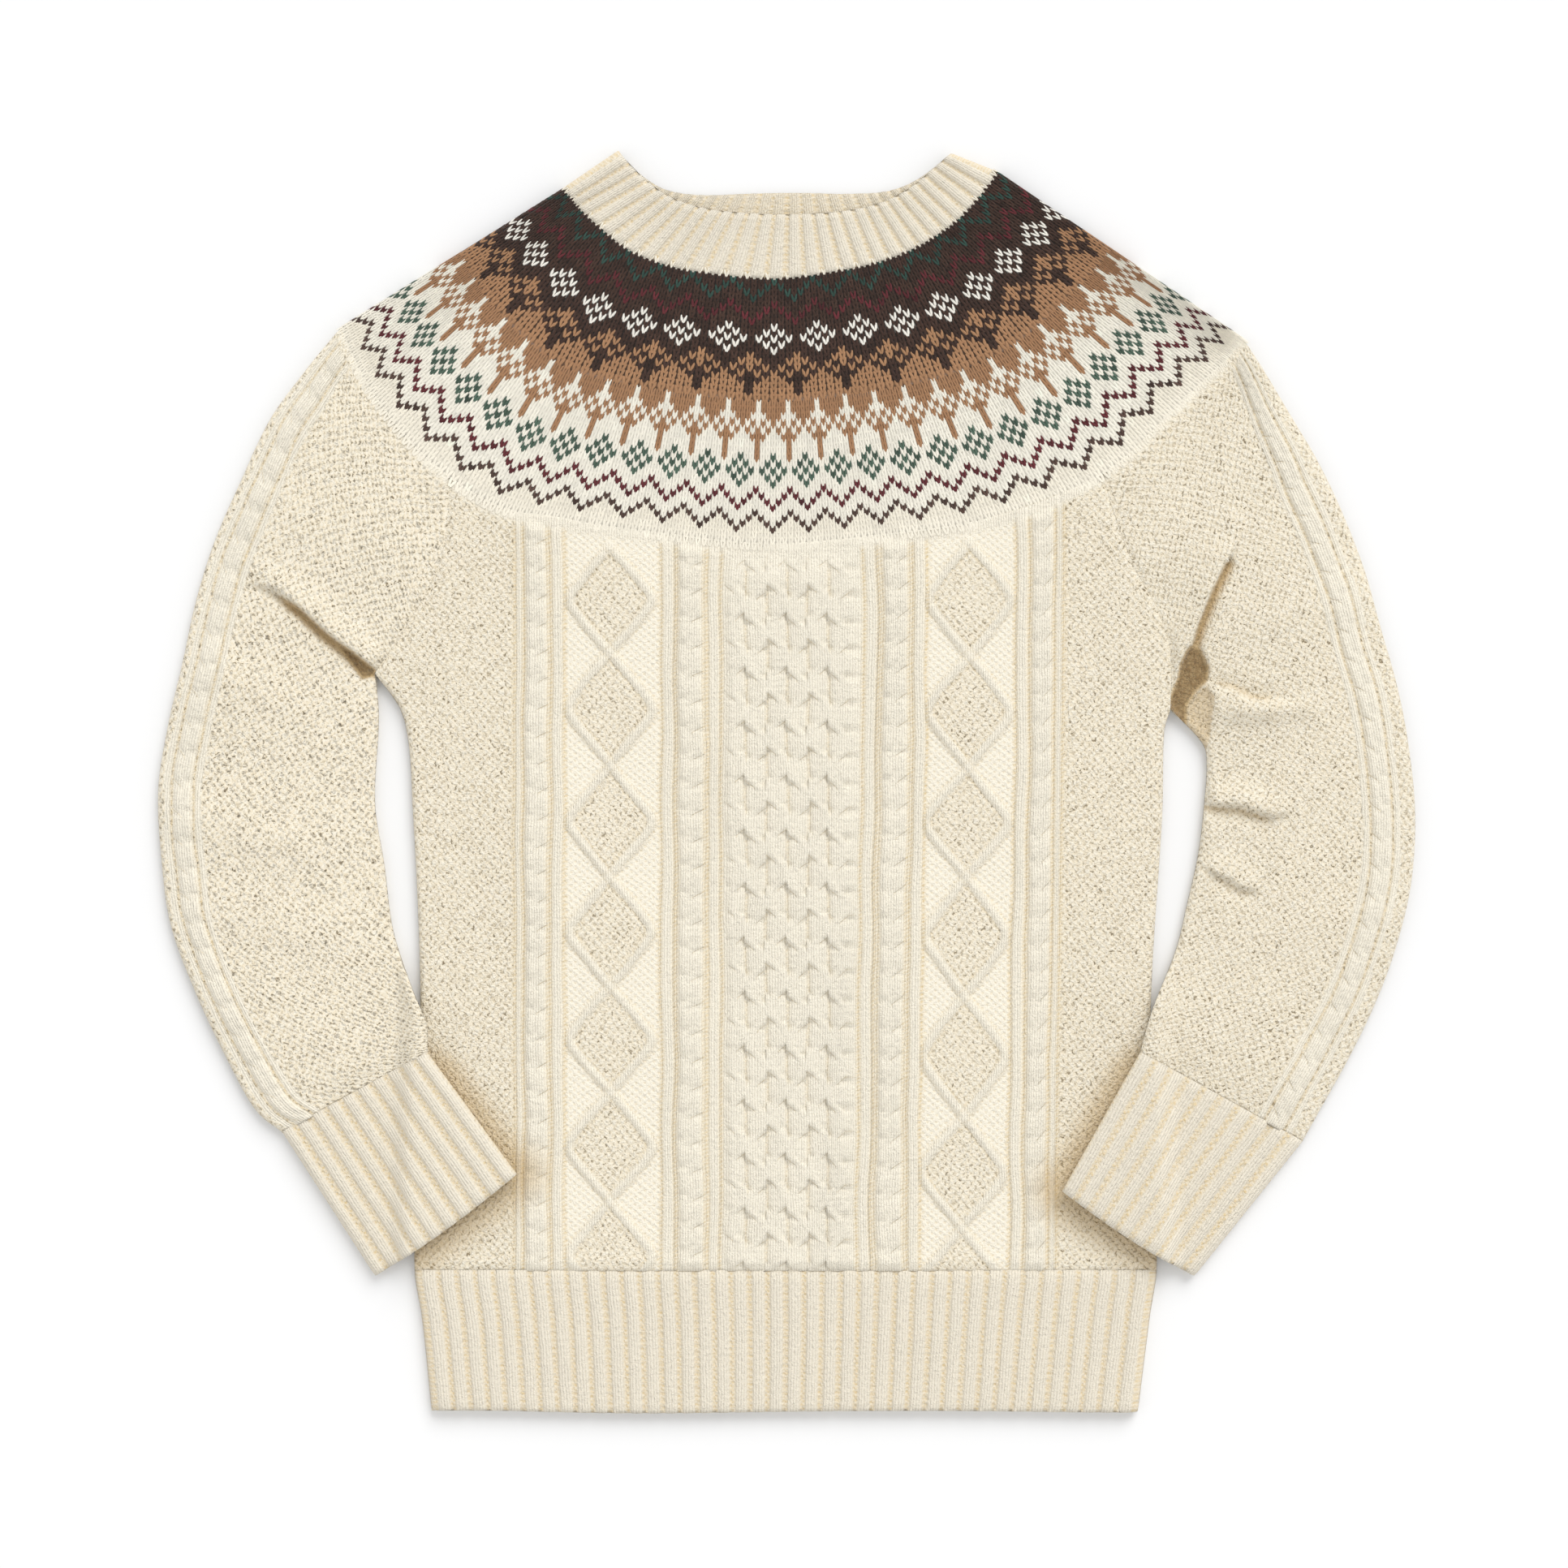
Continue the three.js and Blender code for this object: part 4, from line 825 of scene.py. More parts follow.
def flat_tube(name, place, width_at, rows, front, back, relief, material, slot, node, inside=None):
    """place(s, v, layer) gives a plan and a ground height; relief(s, v, x, y, away) the front's stitches."""
    cloth = Cloth()
    v = rows[None, :]
    sheets = []
    for layer, count in ((1, front), (-1, back)):
        part, offset = tube_places(count)
        s = part + offset / width_at(v)
        away = np.minimum(s, 1 - s) * width_at(v)
        x, y, ground = place(s, v + 0 * s, layer)
        form = relief(s, v + 0 * s, x, y, away) if layer > 0 else {"purl": 1.0}
        raised = form.pop("height", 0.0)
        z = ground + HALF_THICK + layer * round_edge(away) + (raised if layer > 0 else 0)
        sheets.append((x, y, z, form, s))
    x, y, z, form, s = sheets[0]
    front_index = cloth.sheet(x, y, z, form)
    bx, by, bz, back_form, back_s = sheets[1]
    back_index = cloth.sheet(bx[1:-1], by[1:-1], bz[1:-1], back_form)
    across = np.concatenate([s[:, 0], 2 - back_s[1:-1, 0][::-1], [s[0, 0] + 2]])
    outer = np.concatenate([front_index, back_index[::-1], front_index[:1]])
    cloth.cover(outer)

    inner_rows = rows if inside else np.linspace(rows[0], rows[-1], 6)
    iv = inner_rows[None, :]
    halves = []
    for layer in (1, -1):
        count = (160 if inside and layer < 0 else 14)
        si = np.linspace(0, 1, count)[:, None]
        margin = WALL / width_at(iv)
        si = lerp(margin, 1 - margin, si)
        ix, iy, ground = place(si, iv + 0 * si, layer)
        closing = smoothstep(np.minimum(si, 1 - si) * width_at(iv) - WALL, 0, 1)
        iz = ground + HALF_THICK + layer * SLACK * closing
        inner_form = {"purl": 1.0}
        if inside and layer < 0:
            inner_form = inside(si, iv + 0 * si)
            iz = iz - 0.45 + inner_form.pop("height")
        halves.append((ix, iy, iz, inner_form, si))
    ix, iy, iz, inner_form, si = halves[0]
    top_index = cloth.sheet(ix, iy, iz, inner_form)
    ux, uy, uz, under_form, us = halves[1]
    under_form = {field: value[1:-1] if np.ndim(value) else value for field, value in under_form.items()}
    under_index = cloth.sheet(ux[1:-1], uy[1:-1], uz[1:-1], under_form)
    inner_across = np.concatenate([si[:, 0], 2 - us[1:-1, 0][::-1], [si[0, 0] + 2]])
    inner = np.concatenate([top_index, under_index[::-1], top_index[:1]])
    cloth.shell(outer, inner, across, inner_across, rows, inner_rows, True)
    return cloth.mesh(name, material, slot, [node])


def neck_rise(s, layer):
    return BACK_NECK_RISE * np.sin(np.pi * np.clip(s, 0, 1)) ** 2 if layer < 0 else 0.0


def length_along(place, v):
    """Length across a tube's front at each row."""
    s = np.linspace(0, 1, 60)[:, None]
    x, y, _ = place(s, np.atleast_2d(v) + 0 * s, 1)
    return np.hypot(np.diff(x, axis=0), np.diff(y, axis=0)).sum(0)[None, :]


def collar(material):
    def place(s, v, layer):
        repeat = lerp(FIRST_REPEAT, LAST_REPEAT, s)
        rise = neck_rise(s, layer)
        x = lerp(station["rimX"](repeat), station["neckX"](repeat), v)
        y = lerp(station["rimY"](repeat) + rise, station["neckY"](repeat) + rise, v)
        return x, y, 0.0

    def relief(s, v, x, y, away):
        form = ribbing(np.clip((s - 0.012) / 0.976, 0, 0.99999), COLLAR_RIBS, v * 34)
        form["height"] = form["height"] * smoothstep(away, 0, 3) - 1.2 * hill(v / 0.035) - 0.6 * hill((1 - v) / 0.04)
        return form

    def inside(s, v):
        form = ribbing(np.clip(s, 0, 0.99999), COLLAR_RIBS, v * 34, 0.8)
        # Painted shade over the whole inside of the back collar
        form["hollow"] = np.maximum(form["hollow"], 0.35)
        return form

    rows = np.linspace(0, 1, 20)
    return flat_tube("collar_rib", place, lambda v: length_along(place, v), rows, 330, 60, relief, material,
                     "cream_rib", "collar", inside)


def cuff(name, corners, node, material):
    (ax, ay), (bx, by), (cx, cy), (dx, dy) = corners

    def place(s, v, layer):
        bulge = 2.2 * np.sin(np.pi * np.clip(s, 0, 1))
        x = lerp(lerp(ax, cx, v), lerp(bx, dx, v), s)
        y = lerp(lerp(ay, cy, v), lerp(by, dy, v), s) - bulge * v
        return x, y, support(x, y)

    def width_at(v):
        return np.hypot(lerp(ax, cx, v) - lerp(bx, dx, v), lerp(ay, cy, v) - lerp(by, dy, v))

    def relief(s, v, x, y, away):
        form = ribbing(np.clip((s + 0.012) / 1.024, 0, 0.99999), CUFF_RIBS, v * 74, half=0.31)
        form["height"] = form["height"] * smoothstep(away, 0, 3) * smoothstep(v, -0.06, 0.05) - 1.0 * hill((1 - v) / 0.025)
        return form

    rows = np.linspace(-0.009, 1, 40)
    return flat_tube(name, place, width_at, rows, 124, 16, relief, material, "cream_rib", node)


# Sleeves

def sleeve(name, node, rows_table, raglan, inseam, underarm, edge_corner, fold_repeat, inward, rope_at, material, seed):
    last = len(rows_table["outerX"]) - 1
    number = np.arange(last + 1)
    outer_x, outer_y = through(number, rows_table["outerX"]), through(number, rows_table["outerY"])
    inner_y = through(number, rows_table["innerY"])
    inseam_x = through(inseam["y"], inseam["x"])
    corner_y = yoke_plan(edge_corner, 1.0)[1]

    def inner_point(v):
        y = np.minimum(inner_y(v), corner_y)
        return np.where(y > underarm, raglan(y), inseam_x(y)), y

    def width_at(v):
        x, y = inner_point(v)
        return np.hypot(outer_x(v) - x, outer_y(v) - y)

    def plan(s, v):
        ix, iy = inner_point(v)
        x, y = lerp(outer_x(v), ix, s), lerp(outer_y(v), iy, s)
        pull = 1 - smoothstep(v, 0, 3.5)
        along = np.clip(s, 0, 1)
        edge_x, edge_y = yoke_plan(lerp(fold_repeat, edge_corner, along), 1 - TUCK / 140)
        start_x, start_y = inner_point(0 * v)
        return (x + pull * (edge_x - lerp(outer_x(0 * v), start_x, along)),
                y + pull * (edge_y - lerp(outer_y(0 * v), start_y, along)))

    rows = np.linspace(0, last, 300)
    middle_x, middle_y = plan(np.full_like(rows, 0.4), rows)
    length = np.concatenate([[0], np.cumsum(np.hypot(np.diff(middle_x), np.diff(middle_y)))])
    along_at = through(rows, length)
    rows = np.interp(np.linspace(0, length[-1], 262), length, rows)

    def turned(v):
        return smoothstep(underarm - inner_y(v), 0, SIDE_TURN)

    def outer_height(s, v):
        width = width_at(v)
        at_seam = lerp(HALF_THICK, round_edge((1 - s) * width), turned(v))
        return np.minimum(round_edge(s * width), at_seam)

    def dressing(s, v, x, y):
        """Fullness, folds and the rope of the front."""
        width = width_at(v)
        from_fold = s * width
        from_seam = (1 - s) * width
        along = along_at(v)
        inside = np.clip(np.minimum(from_fold, from_seam) / 12, 0, 1)
        middle = smoothstep(v, 0.5, 3) * (1 - smoothstep(v, last - 1.5, last))
        folded, painted_shade = folds(x, y)
        full = SLEEVE_PUFF * np.sin(np.pi * np.clip(s, 0, 1)) * inside * middle
        full = full + (folded * middle + 0.8 * waves(x, y, 60, seed)) * np.clip(np.minimum(from_fold, from_seam) / 5, 0, 1)
        form = blank(s.shape)
        form["moss"] = smoothstep(along, 2, 7)
        form["wale"], form["course"] = from_fold / WALE, along / COURSE
        across = (rope_at - from_fold)
        start = smoothstep(along, 3, 10)
        across = across + 0.7 * waves(along, 0 * along, 45, seed + 5)
        height, edge, turn = rope(across * inward, along, SLEEVE_ROPE_HALF_WIDTH, ROPE_TURN, 2.2)
        put(form, np.abs(across) < SLEEVE_ROPE_HALF_WIDTH, height=height * start, edge=edge, turn=turn * start,
            moss=1 - start)
        # Painted shade in the furrows beside the sleeve's rope
        furrow = hill((np.abs(across) - SLEEVE_ROPE_HALF_WIDTH - 0.3) / 0.9) * start
        form["hollow"] = np.maximum(form["hollow"], 0.7 * furrow)
        for side in (-1, 1):
            rib = across - side * (SLEEVE_ROPE_HALF_WIDTH + 2.6)
            near = np.abs(rib) < 1.8
            put(form, near, height=0.6 * dome(rib / 1.8) ** 3 * start, moss=1 - start)
        seam = 0.9 * hill(from_seam / 2.2) * smoothstep(y, underarm - 20, underarm + 10)
        end = 0.6 * hill((last - v) / 0.08)
        form["height"] = form["height"] * inside + full - seam - end - 0.8 * smoothstep(1.4 - along, 0, 1.2)
        form["height"] = np.maximum(form["height"], 1.0 - outer_height(s, v))
        # Painted shade of the creases and the hollows under the arms
        form["painted_shade"] = lerp(-FAR, painted_shade, middle)
        return form

    cloth = Cloth()
    v = rows[None, :]
    near = spread((HALF_THICK, rope_at - 9, 1.1), (rope_at - 9, rope_at + 9.5, 0.66))
    far = np.linspace(0, 1, 84)[1:]
    part = np.concatenate([[0.0] * 5, 0 * near, far, [1.0] * 5])[::-1, None]
    offset = np.concatenate([QUARTER, near, lerp(near[-1], -HALF_THICK, far), -QUARTER[::-1]])[::-1, None]
    s = part + offset / width_at(v)
    x, y = plan(s, v + 0 * s)
    form = dressing(s, v + 0 * s, x, y)
    z = support(x, y) + HALF_THICK + outer_height(s, v) + form.pop("height")
    front = cloth.sheet(x, y, z, form)
    back_part = np.concatenate([[0.0] * 4, np.linspace(0, 1, 24), [1.0] * 5])[:, None]
    back_offset = np.concatenate([QUARTER[1:], HALF_THICK * np.linspace(1, -1, 24), -QUARTER[::-1]])[:, None]
    bs = back_part + back_offset / width_at(v)
    bx, by = plan(bs, v + 0 * bs)
    back = cloth.sheet(bx, by, support(bx, by) + HALF_THICK - outer_height(bs, v), {"moss": 1.0})
    outer = np.concatenate([front, back])
    outer_across = np.concatenate([1 - s[:, 0], 1 + bs[:, 0]])
    cloth.cover(outer)
    inner_rows = np.linspace(0, last, 24)
    iv = inner_rows[None, :]
    margin = WALL / width_at(iv)
    top_s = lerp(1 - margin * turned(iv), margin, np.linspace(0, 1, 12)[:, None])
    low_s = lerp(margin, 1 - margin * turned(iv), np.linspace(0, 1, 12)[1:, None])
    inner_s = np.concatenate([top_s, low_s])
    layer = np.concatenate([np.ones(11), [0], -np.ones(11)])[:, None]
    ix, iy = plan(inner_s, iv + 0 * inner_s)
    inner = cloth.sheet(ix, iy, support(ix, iy) + HALF_THICK + layer * SLACK, {"purl": 1.0})
    inner_across = np.concatenate([1 - top_s[:, 0], 1 + low_s[:, 0]])
    cloth.shell(outer, inner, outer_across, inner_across, rows, inner_rows, False)
    return cloth.mesh(name, material, "cream_knit", [node])


# Yoke

def yoke_place(s, v, layer):
    repeat = lerp(FIRST_REPEAT, LAST_REPEAT, s)
    x, y = yoke_plan(repeat, v, neck_rise(s, layer) * (1 - v))
    return x, y, 0.0


def chart_colours(chart, columns, rows):
    """The chart's yarns at columns from the centre front and rows from the neck, as light."""
    yarn = np.array([[linear(YARNS[letter]) for letter in row] for row in chart])
    return yarn[np.clip(rows, 0, len(chart) - 1), np.mod(columns, 6)]


def repeat_height(repeat):
    """Height of the yoke's outside over the middle, with its rounded shoulder folds."""
    away = np.minimum(repeat - FIRST_REPEAT, LAST_REPEAT - repeat) * 17
    return round_edge(away)


def yoke_base(material):
    """The yoke's wall, with one face for every stitch of the chart."""
    cloth = Cloth()
    bands = ((INNER_CHART, INNER_REPEATS_ROUND, 0), (OUTER_CHART, REPEATS_ROUND, 21))
    edges = []
    for chart, round_count, first in bands:
        pitch = REPEATS_ROUND / round_count / 6
        low, high = int(np.ceil(FIRST_REPEAT / pitch)), int(np.floor(LAST_REPEAT / pitch))
        columns = np.arange(low, high)
        marks = np.concatenate([[FIRST_REPEAT], (columns + 0.5) * pitch, [LAST_REPEAT]])
        rows = np.arange(first, first + len(chart) + 1)
        v = np.clip(row_fraction(rows), 0.0, 1.0)[None, :]
        faces = np.concatenate([[low - 0], columns[1:], [high, high]])[: len(marks) - 1]
        s = ((marks - FIRST_REPEAT) / (LAST_REPEAT - FIRST_REPEAT))[:, None]
        x, y, _ = yoke_place(s, v + 0 * s, 1)
        z = HALF_THICK + repeat_height(marks)[:, None] + 0.35 * waves(x, y, 70, 5)
        z = np.where((s <= 0) | (s >= 1), HALF_THICK, z)
        top = cloth.sheet(x, y, z, {"wale": marks[:, None] / pitch - 0.5, "course": rows[None, :]})
        back_marks = marks[1:-1][::-1]
        bs = ((back_marks - FIRST_REPEAT) / (LAST_REPEAT - FIRST_REPEAT))[:, None]
        bx, by, _ = yoke_place(bs, v + 0 * bs, -1)
        under = cloth.sheet(bx, by, np.broadcast_to(HALF_THICK - repeat_height(back_marks)[:, None], bx.shape),
                            {"wale": back_marks[:, None] / pitch - 0.5, "course": rows[None, :]})
        ring = np.concatenate([top, under, top[:1]])
        across = np.concatenate([s[:, 0], 2 - bs[:, 0], [2.0]])
        row_numbers = np.arange(len(chart))[None, :]
        front_columns = np.round((marks[:-1] + marks[1:]) / 2 / pitch).astype(int)
        back_faces = np.concatenate([[marks[-1]], back_marks, [marks[0]]])
        back_columns = REPEATS_ROUND // 2 * 6 * round_count // REPEATS_ROUND + np.round(
            (back_faces[:-1] + back_faces[1:]) / 2 / pitch).astype(int)
        numbers = np.concatenate([front_columns, back_columns])[:, None]
        colours = chart_colours(chart, numbers + 0 * row_numbers, row_numbers + 0 * numbers)
        # Painted shade on the ground that shows between the stitches' legs: very dark in the inner band's rows, a
        # little darker elsewhere, more so under dark yarn
        shaded_inner_rows = ((row_numbers < 20) & (first == 0))[..., None]
        behind = np.where(colours.mean(-1, keepdims=True) > 0.5, 0.97, 0.78)
        colours = np.where(shaded_inner_rows, 0.2 * colours + 0.15 * linear(DARK_BROWN), behind * colours)
        cloth.cover(ring, colours)
        edges.append((ring, across))
    (upper, upper_across), (lower, lower_across) = edges
    cloth.join(upper[:, -1][::-1], lower[:, 0][::-1], -upper_across[::-1], -lower_across[::-1], rim=False)
    inner_rows = np.linspace(0, 1, 6)
    halves = []
    for layer in (1, -1):
        margin = WALL / 500
        s = np.linspace(margin, 1 - margin, 40)[:, None]
        x, y, _ = yoke_place(s, inner_rows[None, :] + 0 * s, layer)
        z = np.full_like(x, HALF_THICK + layer * SLACK)
        z[0], z[-1] = HALF_THICK, HALF_THICK
        halves.append((x, y, z, s[:, 0]))
    x, y, z, s = halves[0]
    top = cloth.sheet(x, y, z)
    ux, uy, uz, us = halves[1]
    under = cloth.sheet(ux[1:-1], uy[1:-1], uz[1:-1])
    inner = np.concatenate([top, under[::-1], top[:1]])
    inner_across = np.concatenate([s, 2 - us[1:-1][::-1], [s[0] + 2]])
    cloth.cover(inner[::-1], np.tile(linear(DARK_BROWN), ((len(inner) - 1) * 5, 1)))
    cloth.join(upper[:, 0], inner[:, 0], upper_across, inner_across)
    cloth.join(inner[:, -1], lower[:, -1], inner_across, lower_across)
    return cloth.mesh("yoke_fabric", material, "yoke_knit", ["yoke"], rim_colour=CREAM)


def leg_template():
    """One leg of a knitted stitch: places across and down its cell, and its height in millimetres."""
    points, faces = [], []
    top, bottom = np.array([0.37, -0.36]), np.array([0.08, 1.16])
    for t, half, tall in ((0, 0, 0.35), (0.13, 0.14, 0.55), (0.5, 0.175, 0.62), (0.84, 0.14, 0.5), (1, 0, 0.2)):
        middle = lerp(top, bottom, t)
        if half == 0:
            points.append((*middle, tall))
        else:
            points += [(middle[0] - half, middle[1], 0.1), (middle[0], middle[1], tall), (middle[0] + half, middle[1], 0.1)]
    faces += [(0, 2, 1), (0, 3, 2)]
    for k in (1, 4):
        faces += [(k, k + 1, k + 4, k + 3), (k + 1, k + 2, k + 5, k + 4)]
    faces += [(7, 8, 10), (8, 9, 10)]
    return np.array(points), faces


def yoke_stitches(material):
    """Every stitch of the yoke's front as two raised legs of yarn."""
    generator = np.random.default_rng(11)
    centres, rows, pitches, colours = [], [], [], []
    bands = ((INNER_CHART, INNER_REPEATS_ROUND, 0), (OUTER_CHART, REPEATS_ROUND, 21))
    for chart, round_count, first in bands:
        pitch = REPEATS_ROUND / round_count / 6
        column = np.arange(int(np.ceil(FIRST_REPEAT / pitch)), int(np.floor(LAST_REPEAT / pitch)) + 1)
        row = np.arange(-1 if first == 0 else 0, len(chart) + (0 if first == 0 else 1))
        c, r = [part.ravel() for part in np.meshgrid(column, row, indexing="ij")]
        centres.append(c * pitch)
        rows.append(r + first)
        pitches.append(np.full(c.shape, pitch))
        shade = chart_colours(chart, c, r)
        if first == 0:
            shade = np.where((r == -1)[:, None], linear(CREAM), shade)
        colours.append(shade)
    centre, row = np.concatenate(centres), np.concatenate(rows)
    pitch, colour = np.concatenate(pitches), np.concatenate(colours)
    dark = colour.mean(1) < 0.2
    shade = generator.normal(1, np.where(dark, 0.16, 0.035))[:, None]
    colour = np.clip(colour * shade, 0.003, 0.95)
    template, faces = leg_template()
    wobble = generator.normal(0, 0.03, (len(centre), 2))
    points, fleece = [], []
    for side in (1, -1):
        across = side * template[None, :, 0] + wobble[:, :1]
        repeat = centre[:, None] + across * pitch[:, None]
        repeat = np.clip(repeat, FIRST_REPEAT, LAST_REPEAT)
        v = row_fraction(row[:, None] + template[None, :, 1] + wobble[:, 1:] * 0.5)
        x, y = yoke_plan(repeat, v)
        settle = 1 - 0.6 * smoothstep(row, 41, 44)[:, None]
        z = HALF_THICK + repeat_height(repeat) + 0.35 * waves(x, y, 70, 5) + template[None, :, 2] * settle
        z = z + np.where(dark, 0.09, 0.0)[:, None]
        points.append(np.stack([x, y, z], -1))
    points = np.stack(points, 1)
    count = len(template)
    quads = [face for face in faces if len(face) == 4]
    triangles = [face for face in faces if len(face) == 3]
    cloth = Cloth()
    flat = points.reshape(-1, 3)
    cloth.sheet(flat[:, 0], flat[:, 1], flat[:, 2])
    starts = np.arange(len(centre) * 2) * count
    mirrored = (np.arange(len(centre) * 2) % 2 == 1)
    quad_faces = (starts[:, None, None] + np.array(quads)[None])
    quad_faces[mirrored] = quad_faces[mirrored][:, :, ::-1]
    triangle_faces = (starts[:, None, None] + np.array(triangles)[None])
    triangle_faces[mirrored] = triangle_faces[mirrored][:, :, ::-1]
    cloth.quads.append(quad_faces.reshape(-1, 4))
    cloth.triangles = [tuple(face) for face in triangle_faces.reshape(-1, 3)]
    per_leg = np.repeat(colour, 2, 0)
    corner_colours = np.concatenate([
        np.repeat(per_leg, 4 * len(quads), 0), np.repeat(per_leg, 3 * len(triangles), 0)])
    return cloth.mesh("yoke_stitches", material, "yoke_knit", colours=corner_colours)


# Materials

class Wire:
    """A socket in a material's sums."""

    def __init__(self, paint, socket):
        self.paint, self.socket = paint, socket

    def sum(self, operation, *values):
        inputs = dict(enumerate(values))
        return self.paint.node("ShaderNodeMath", {"operation": operation}, inputs)

    def __add__(self, other):
        return self.sum("ADD", self, other)

    __radd__ = __add__

    def __sub__(self, other):
        return self.sum("SUBTRACT", self, other)

    def __rsub__(self, other):
        return self.sum("SUBTRACT", other, self)

    def __mul__(self, other):
        return self.sum("MULTIPLY", self, other)

    __rmul__ = __mul__

    def __truediv__(self, other):
        return self.sum("DIVIDE", self, other)

    def __pow__(self, other):
        return self.sum("POWER", self, other)

    def __abs__(self):
        return self.sum("ABSOLUTE", self)

    def __gt__(self, other):
        return self.sum("GREATER_THAN", self, other)

    def floor(self):
        return self.sum("FLOOR", self)

    def part(self):
        return self.sum("FRACT", self)

    def sine(self):
        return self.sum("SINE", self)

    def kept(self, low=0.0, high=1.0):
        return self.sum("MINIMUM", self.sum("MAXIMUM", self, low), high)

    def ramp(self, low, high):
        t = ((self - low) / (high - low)).kept()
        return t * t * (3 - 2 * t)


class Paint:
    """A material made of nodes."""

    def __init__(self, name):
        self.material = bpy.data.materials.new(name)
        self.material.use_nodes = True
        self.tree = self.material.node_tree
        self.tree.nodes.clear()

    def node(self, kind, settings=None, inputs=None, output=0):
        made = self.tree.nodes.new(kind)
        for key, value in (settings or {}).items():
            setattr(made, key, value)
        for key, value in (inputs or {}).items():
            if isinstance(value, Wire):
                self.tree.links.new(value.socket, made.inputs[key])
            else:
                made.inputs[key].default_value = value
        return Wire(self, made.outputs[output]) if made.outputs else None

    def read(self, name):
        return self.node("ShaderNodeAttribute", {"attribute_name": name}, output="Fac")

    def place(self):
        return self.node("ShaderNodeTexCoord", output="Object")

    def noise(self, scale, detail=2.0, vector=None):
        return self.node("ShaderNodeTexNoise", {}, {"Vector": vector or self.place(), "Scale": scale, "Detail": detail})

    def blend(self, factor, a, b, kind="MIX"):
        settings = {"data_type": "RGBA", "blend_type": kind}
        return self.node("ShaderNodeMix", settings, {0: factor, 6: a, 7: b}, output=2)

    def finish(self, colour, height, distance, roughness=0.9, sheen=0.25, specular=0.25):
        bump = self.node("ShaderNodeBump", {}, {"Strength": 1.0, "Distance": distance, "Height": height})
        yarn = self.node("ShaderNodeBsdfPrincipled", {}, {
            "Base Color": colour, "Roughness": roughness, "Normal": bump,
            "Sheen Weight": sheen, "Specular IOR Level": specular,
        })
        self.node("ShaderNodeOutputMaterial", {}, {"Surface": yarn})
        return self.material


def light(colour):
    return (*[float(value) for value in linear(colour)], 1.0)


def stocking_stitch(wale, course):
    """Plain knitting: two slanting legs to a stitch."""
    across = abs(wale.part() - 0.5)
    leg = 1 - abs(across - 0.25) * 4
    row = (course + across * 1.3).part()
    link = 1 - abs(row - 0.5) * 2
    return leg.kept() ** 0.5 * (0.6 + 0.4 * link ** 0.5)


def beads(wale, course):
    """Purl beads on every other stitch, from 1 at a bead's top to -1 at the gap between four."""
    lean = abs(wale.part() - 0.5) * 0.5
    return (wale * np.pi).sine() * ((course + lean) * np.pi).sine()


def cream_knit(name, cream):
    paint = Paint(name)
    drift = paint.noise(60.0, 1.0) - 0.5
    fibre = paint.noise(1100.0, 3.0)
    tone = paint.noise(380.0, 2.0)
    patch = paint.noise(150.0, 1.0)
    crowd = paint.noise(430.0, 1.0)
    moss, purl, hollow = paint.read("moss"), paint.read("purl"), paint.read("hollow")
    loose = moss * 1.7 + 0.2
    wale = paint.read("wale") + drift * 0.5 + (crowd - 0.5) * loose
    course = paint.read("course") + drift * 0.7 + (tone - 0.5) * loose
    plain = (1 - moss) * (1 - purl)
    knit = stocking_stitch(wale, course)
    moss_beads = beads(wale * (WALE / 2.2), course * (COURSE / 2.5))
    purl_beads = beads(wale * (WALE / 2.3), course * (COURSE / 1.9))
    gap = (0 - moss_beads).ramp(0.7, 0.97) * moss
    edge, turn, painted_shade = paint.read("edge"), paint.read("turn"), paint.read("painted_shade")
    # Painted shadow line under the front strand's lower edge at a crossing; it also dents the bump
    line = turn * (1 - abs(edge) * 1.5).kept()
    over = turn * (1 - edge.ramp(-0.5, 0.5))
    height = knit * (plain * 0.5) + moss_beads * (moss * 0.34) - gap * 0.4 + (tone - 0.5) * (moss * 0.9 + 0.6)
    height = height + over * 0.25 - line * 0.2
    height = height + purl_beads * (purl * (1 - moss) * 0.2) + (fibre - 0.5) * 0.8
    # Painted shade: furrows, shadow lines under crossing strands, the gaps between knit legs and between purl and moss
    # beads, plus random darker fibres, all blended towards the furrow shade colour
    dash = 1 - abs((course * 1.6 + wale * 0.6).part() - 0.5) * 2
    broken = 0.55 + 0.9 * (tone - 0.25).kept(0.0, 0.5)
    shade = (hollow * (0.25 + 0.55 * dash) + line * (0.2 + 0.35 * dash)) * broken
    shade = shade + (1 - knit.ramp(0.05, 0.5)) * plain * 0.2 + (0 - purl_beads).ramp(0.2, 0.9) * purl * 0.26
    shade = shade + (0.5 - 0.5 * moss_beads) * moss * 0.4 + (0.6 - fibre).kept() * 0.16
    colour = paint.blend(shade.kept(), light(cream), light(FURROW_SHADE))
    # Painted shade in the holes between moss beads, patchy
    colour = paint.blend((gap * (patch.ramp(0.45, 0.65) * 0.75 + 0.08)).kept(), colour, light(HOLE_SHADE))
    colour = paint.blend((tone - 0.4).kept(0.0, 0.5) * 0.2, colour, light((228, 219, 198)))
    # Painted shade in creases and under the cuffs and, darker, in the hollows under the arms
    colour = paint.blend(painted_shade.ramp(-0.7, 0.9) * 0.8, colour, light(CREASE_SHADE))
    colour = paint.blend((painted_shade.ramp(0.6, 2.2) * (0.3 + 0.9 * tone + 0.12 * moss_beads)).kept(), colour, light(DEEP_SHADE))
    return paint.finish(colour, height, 0.001)


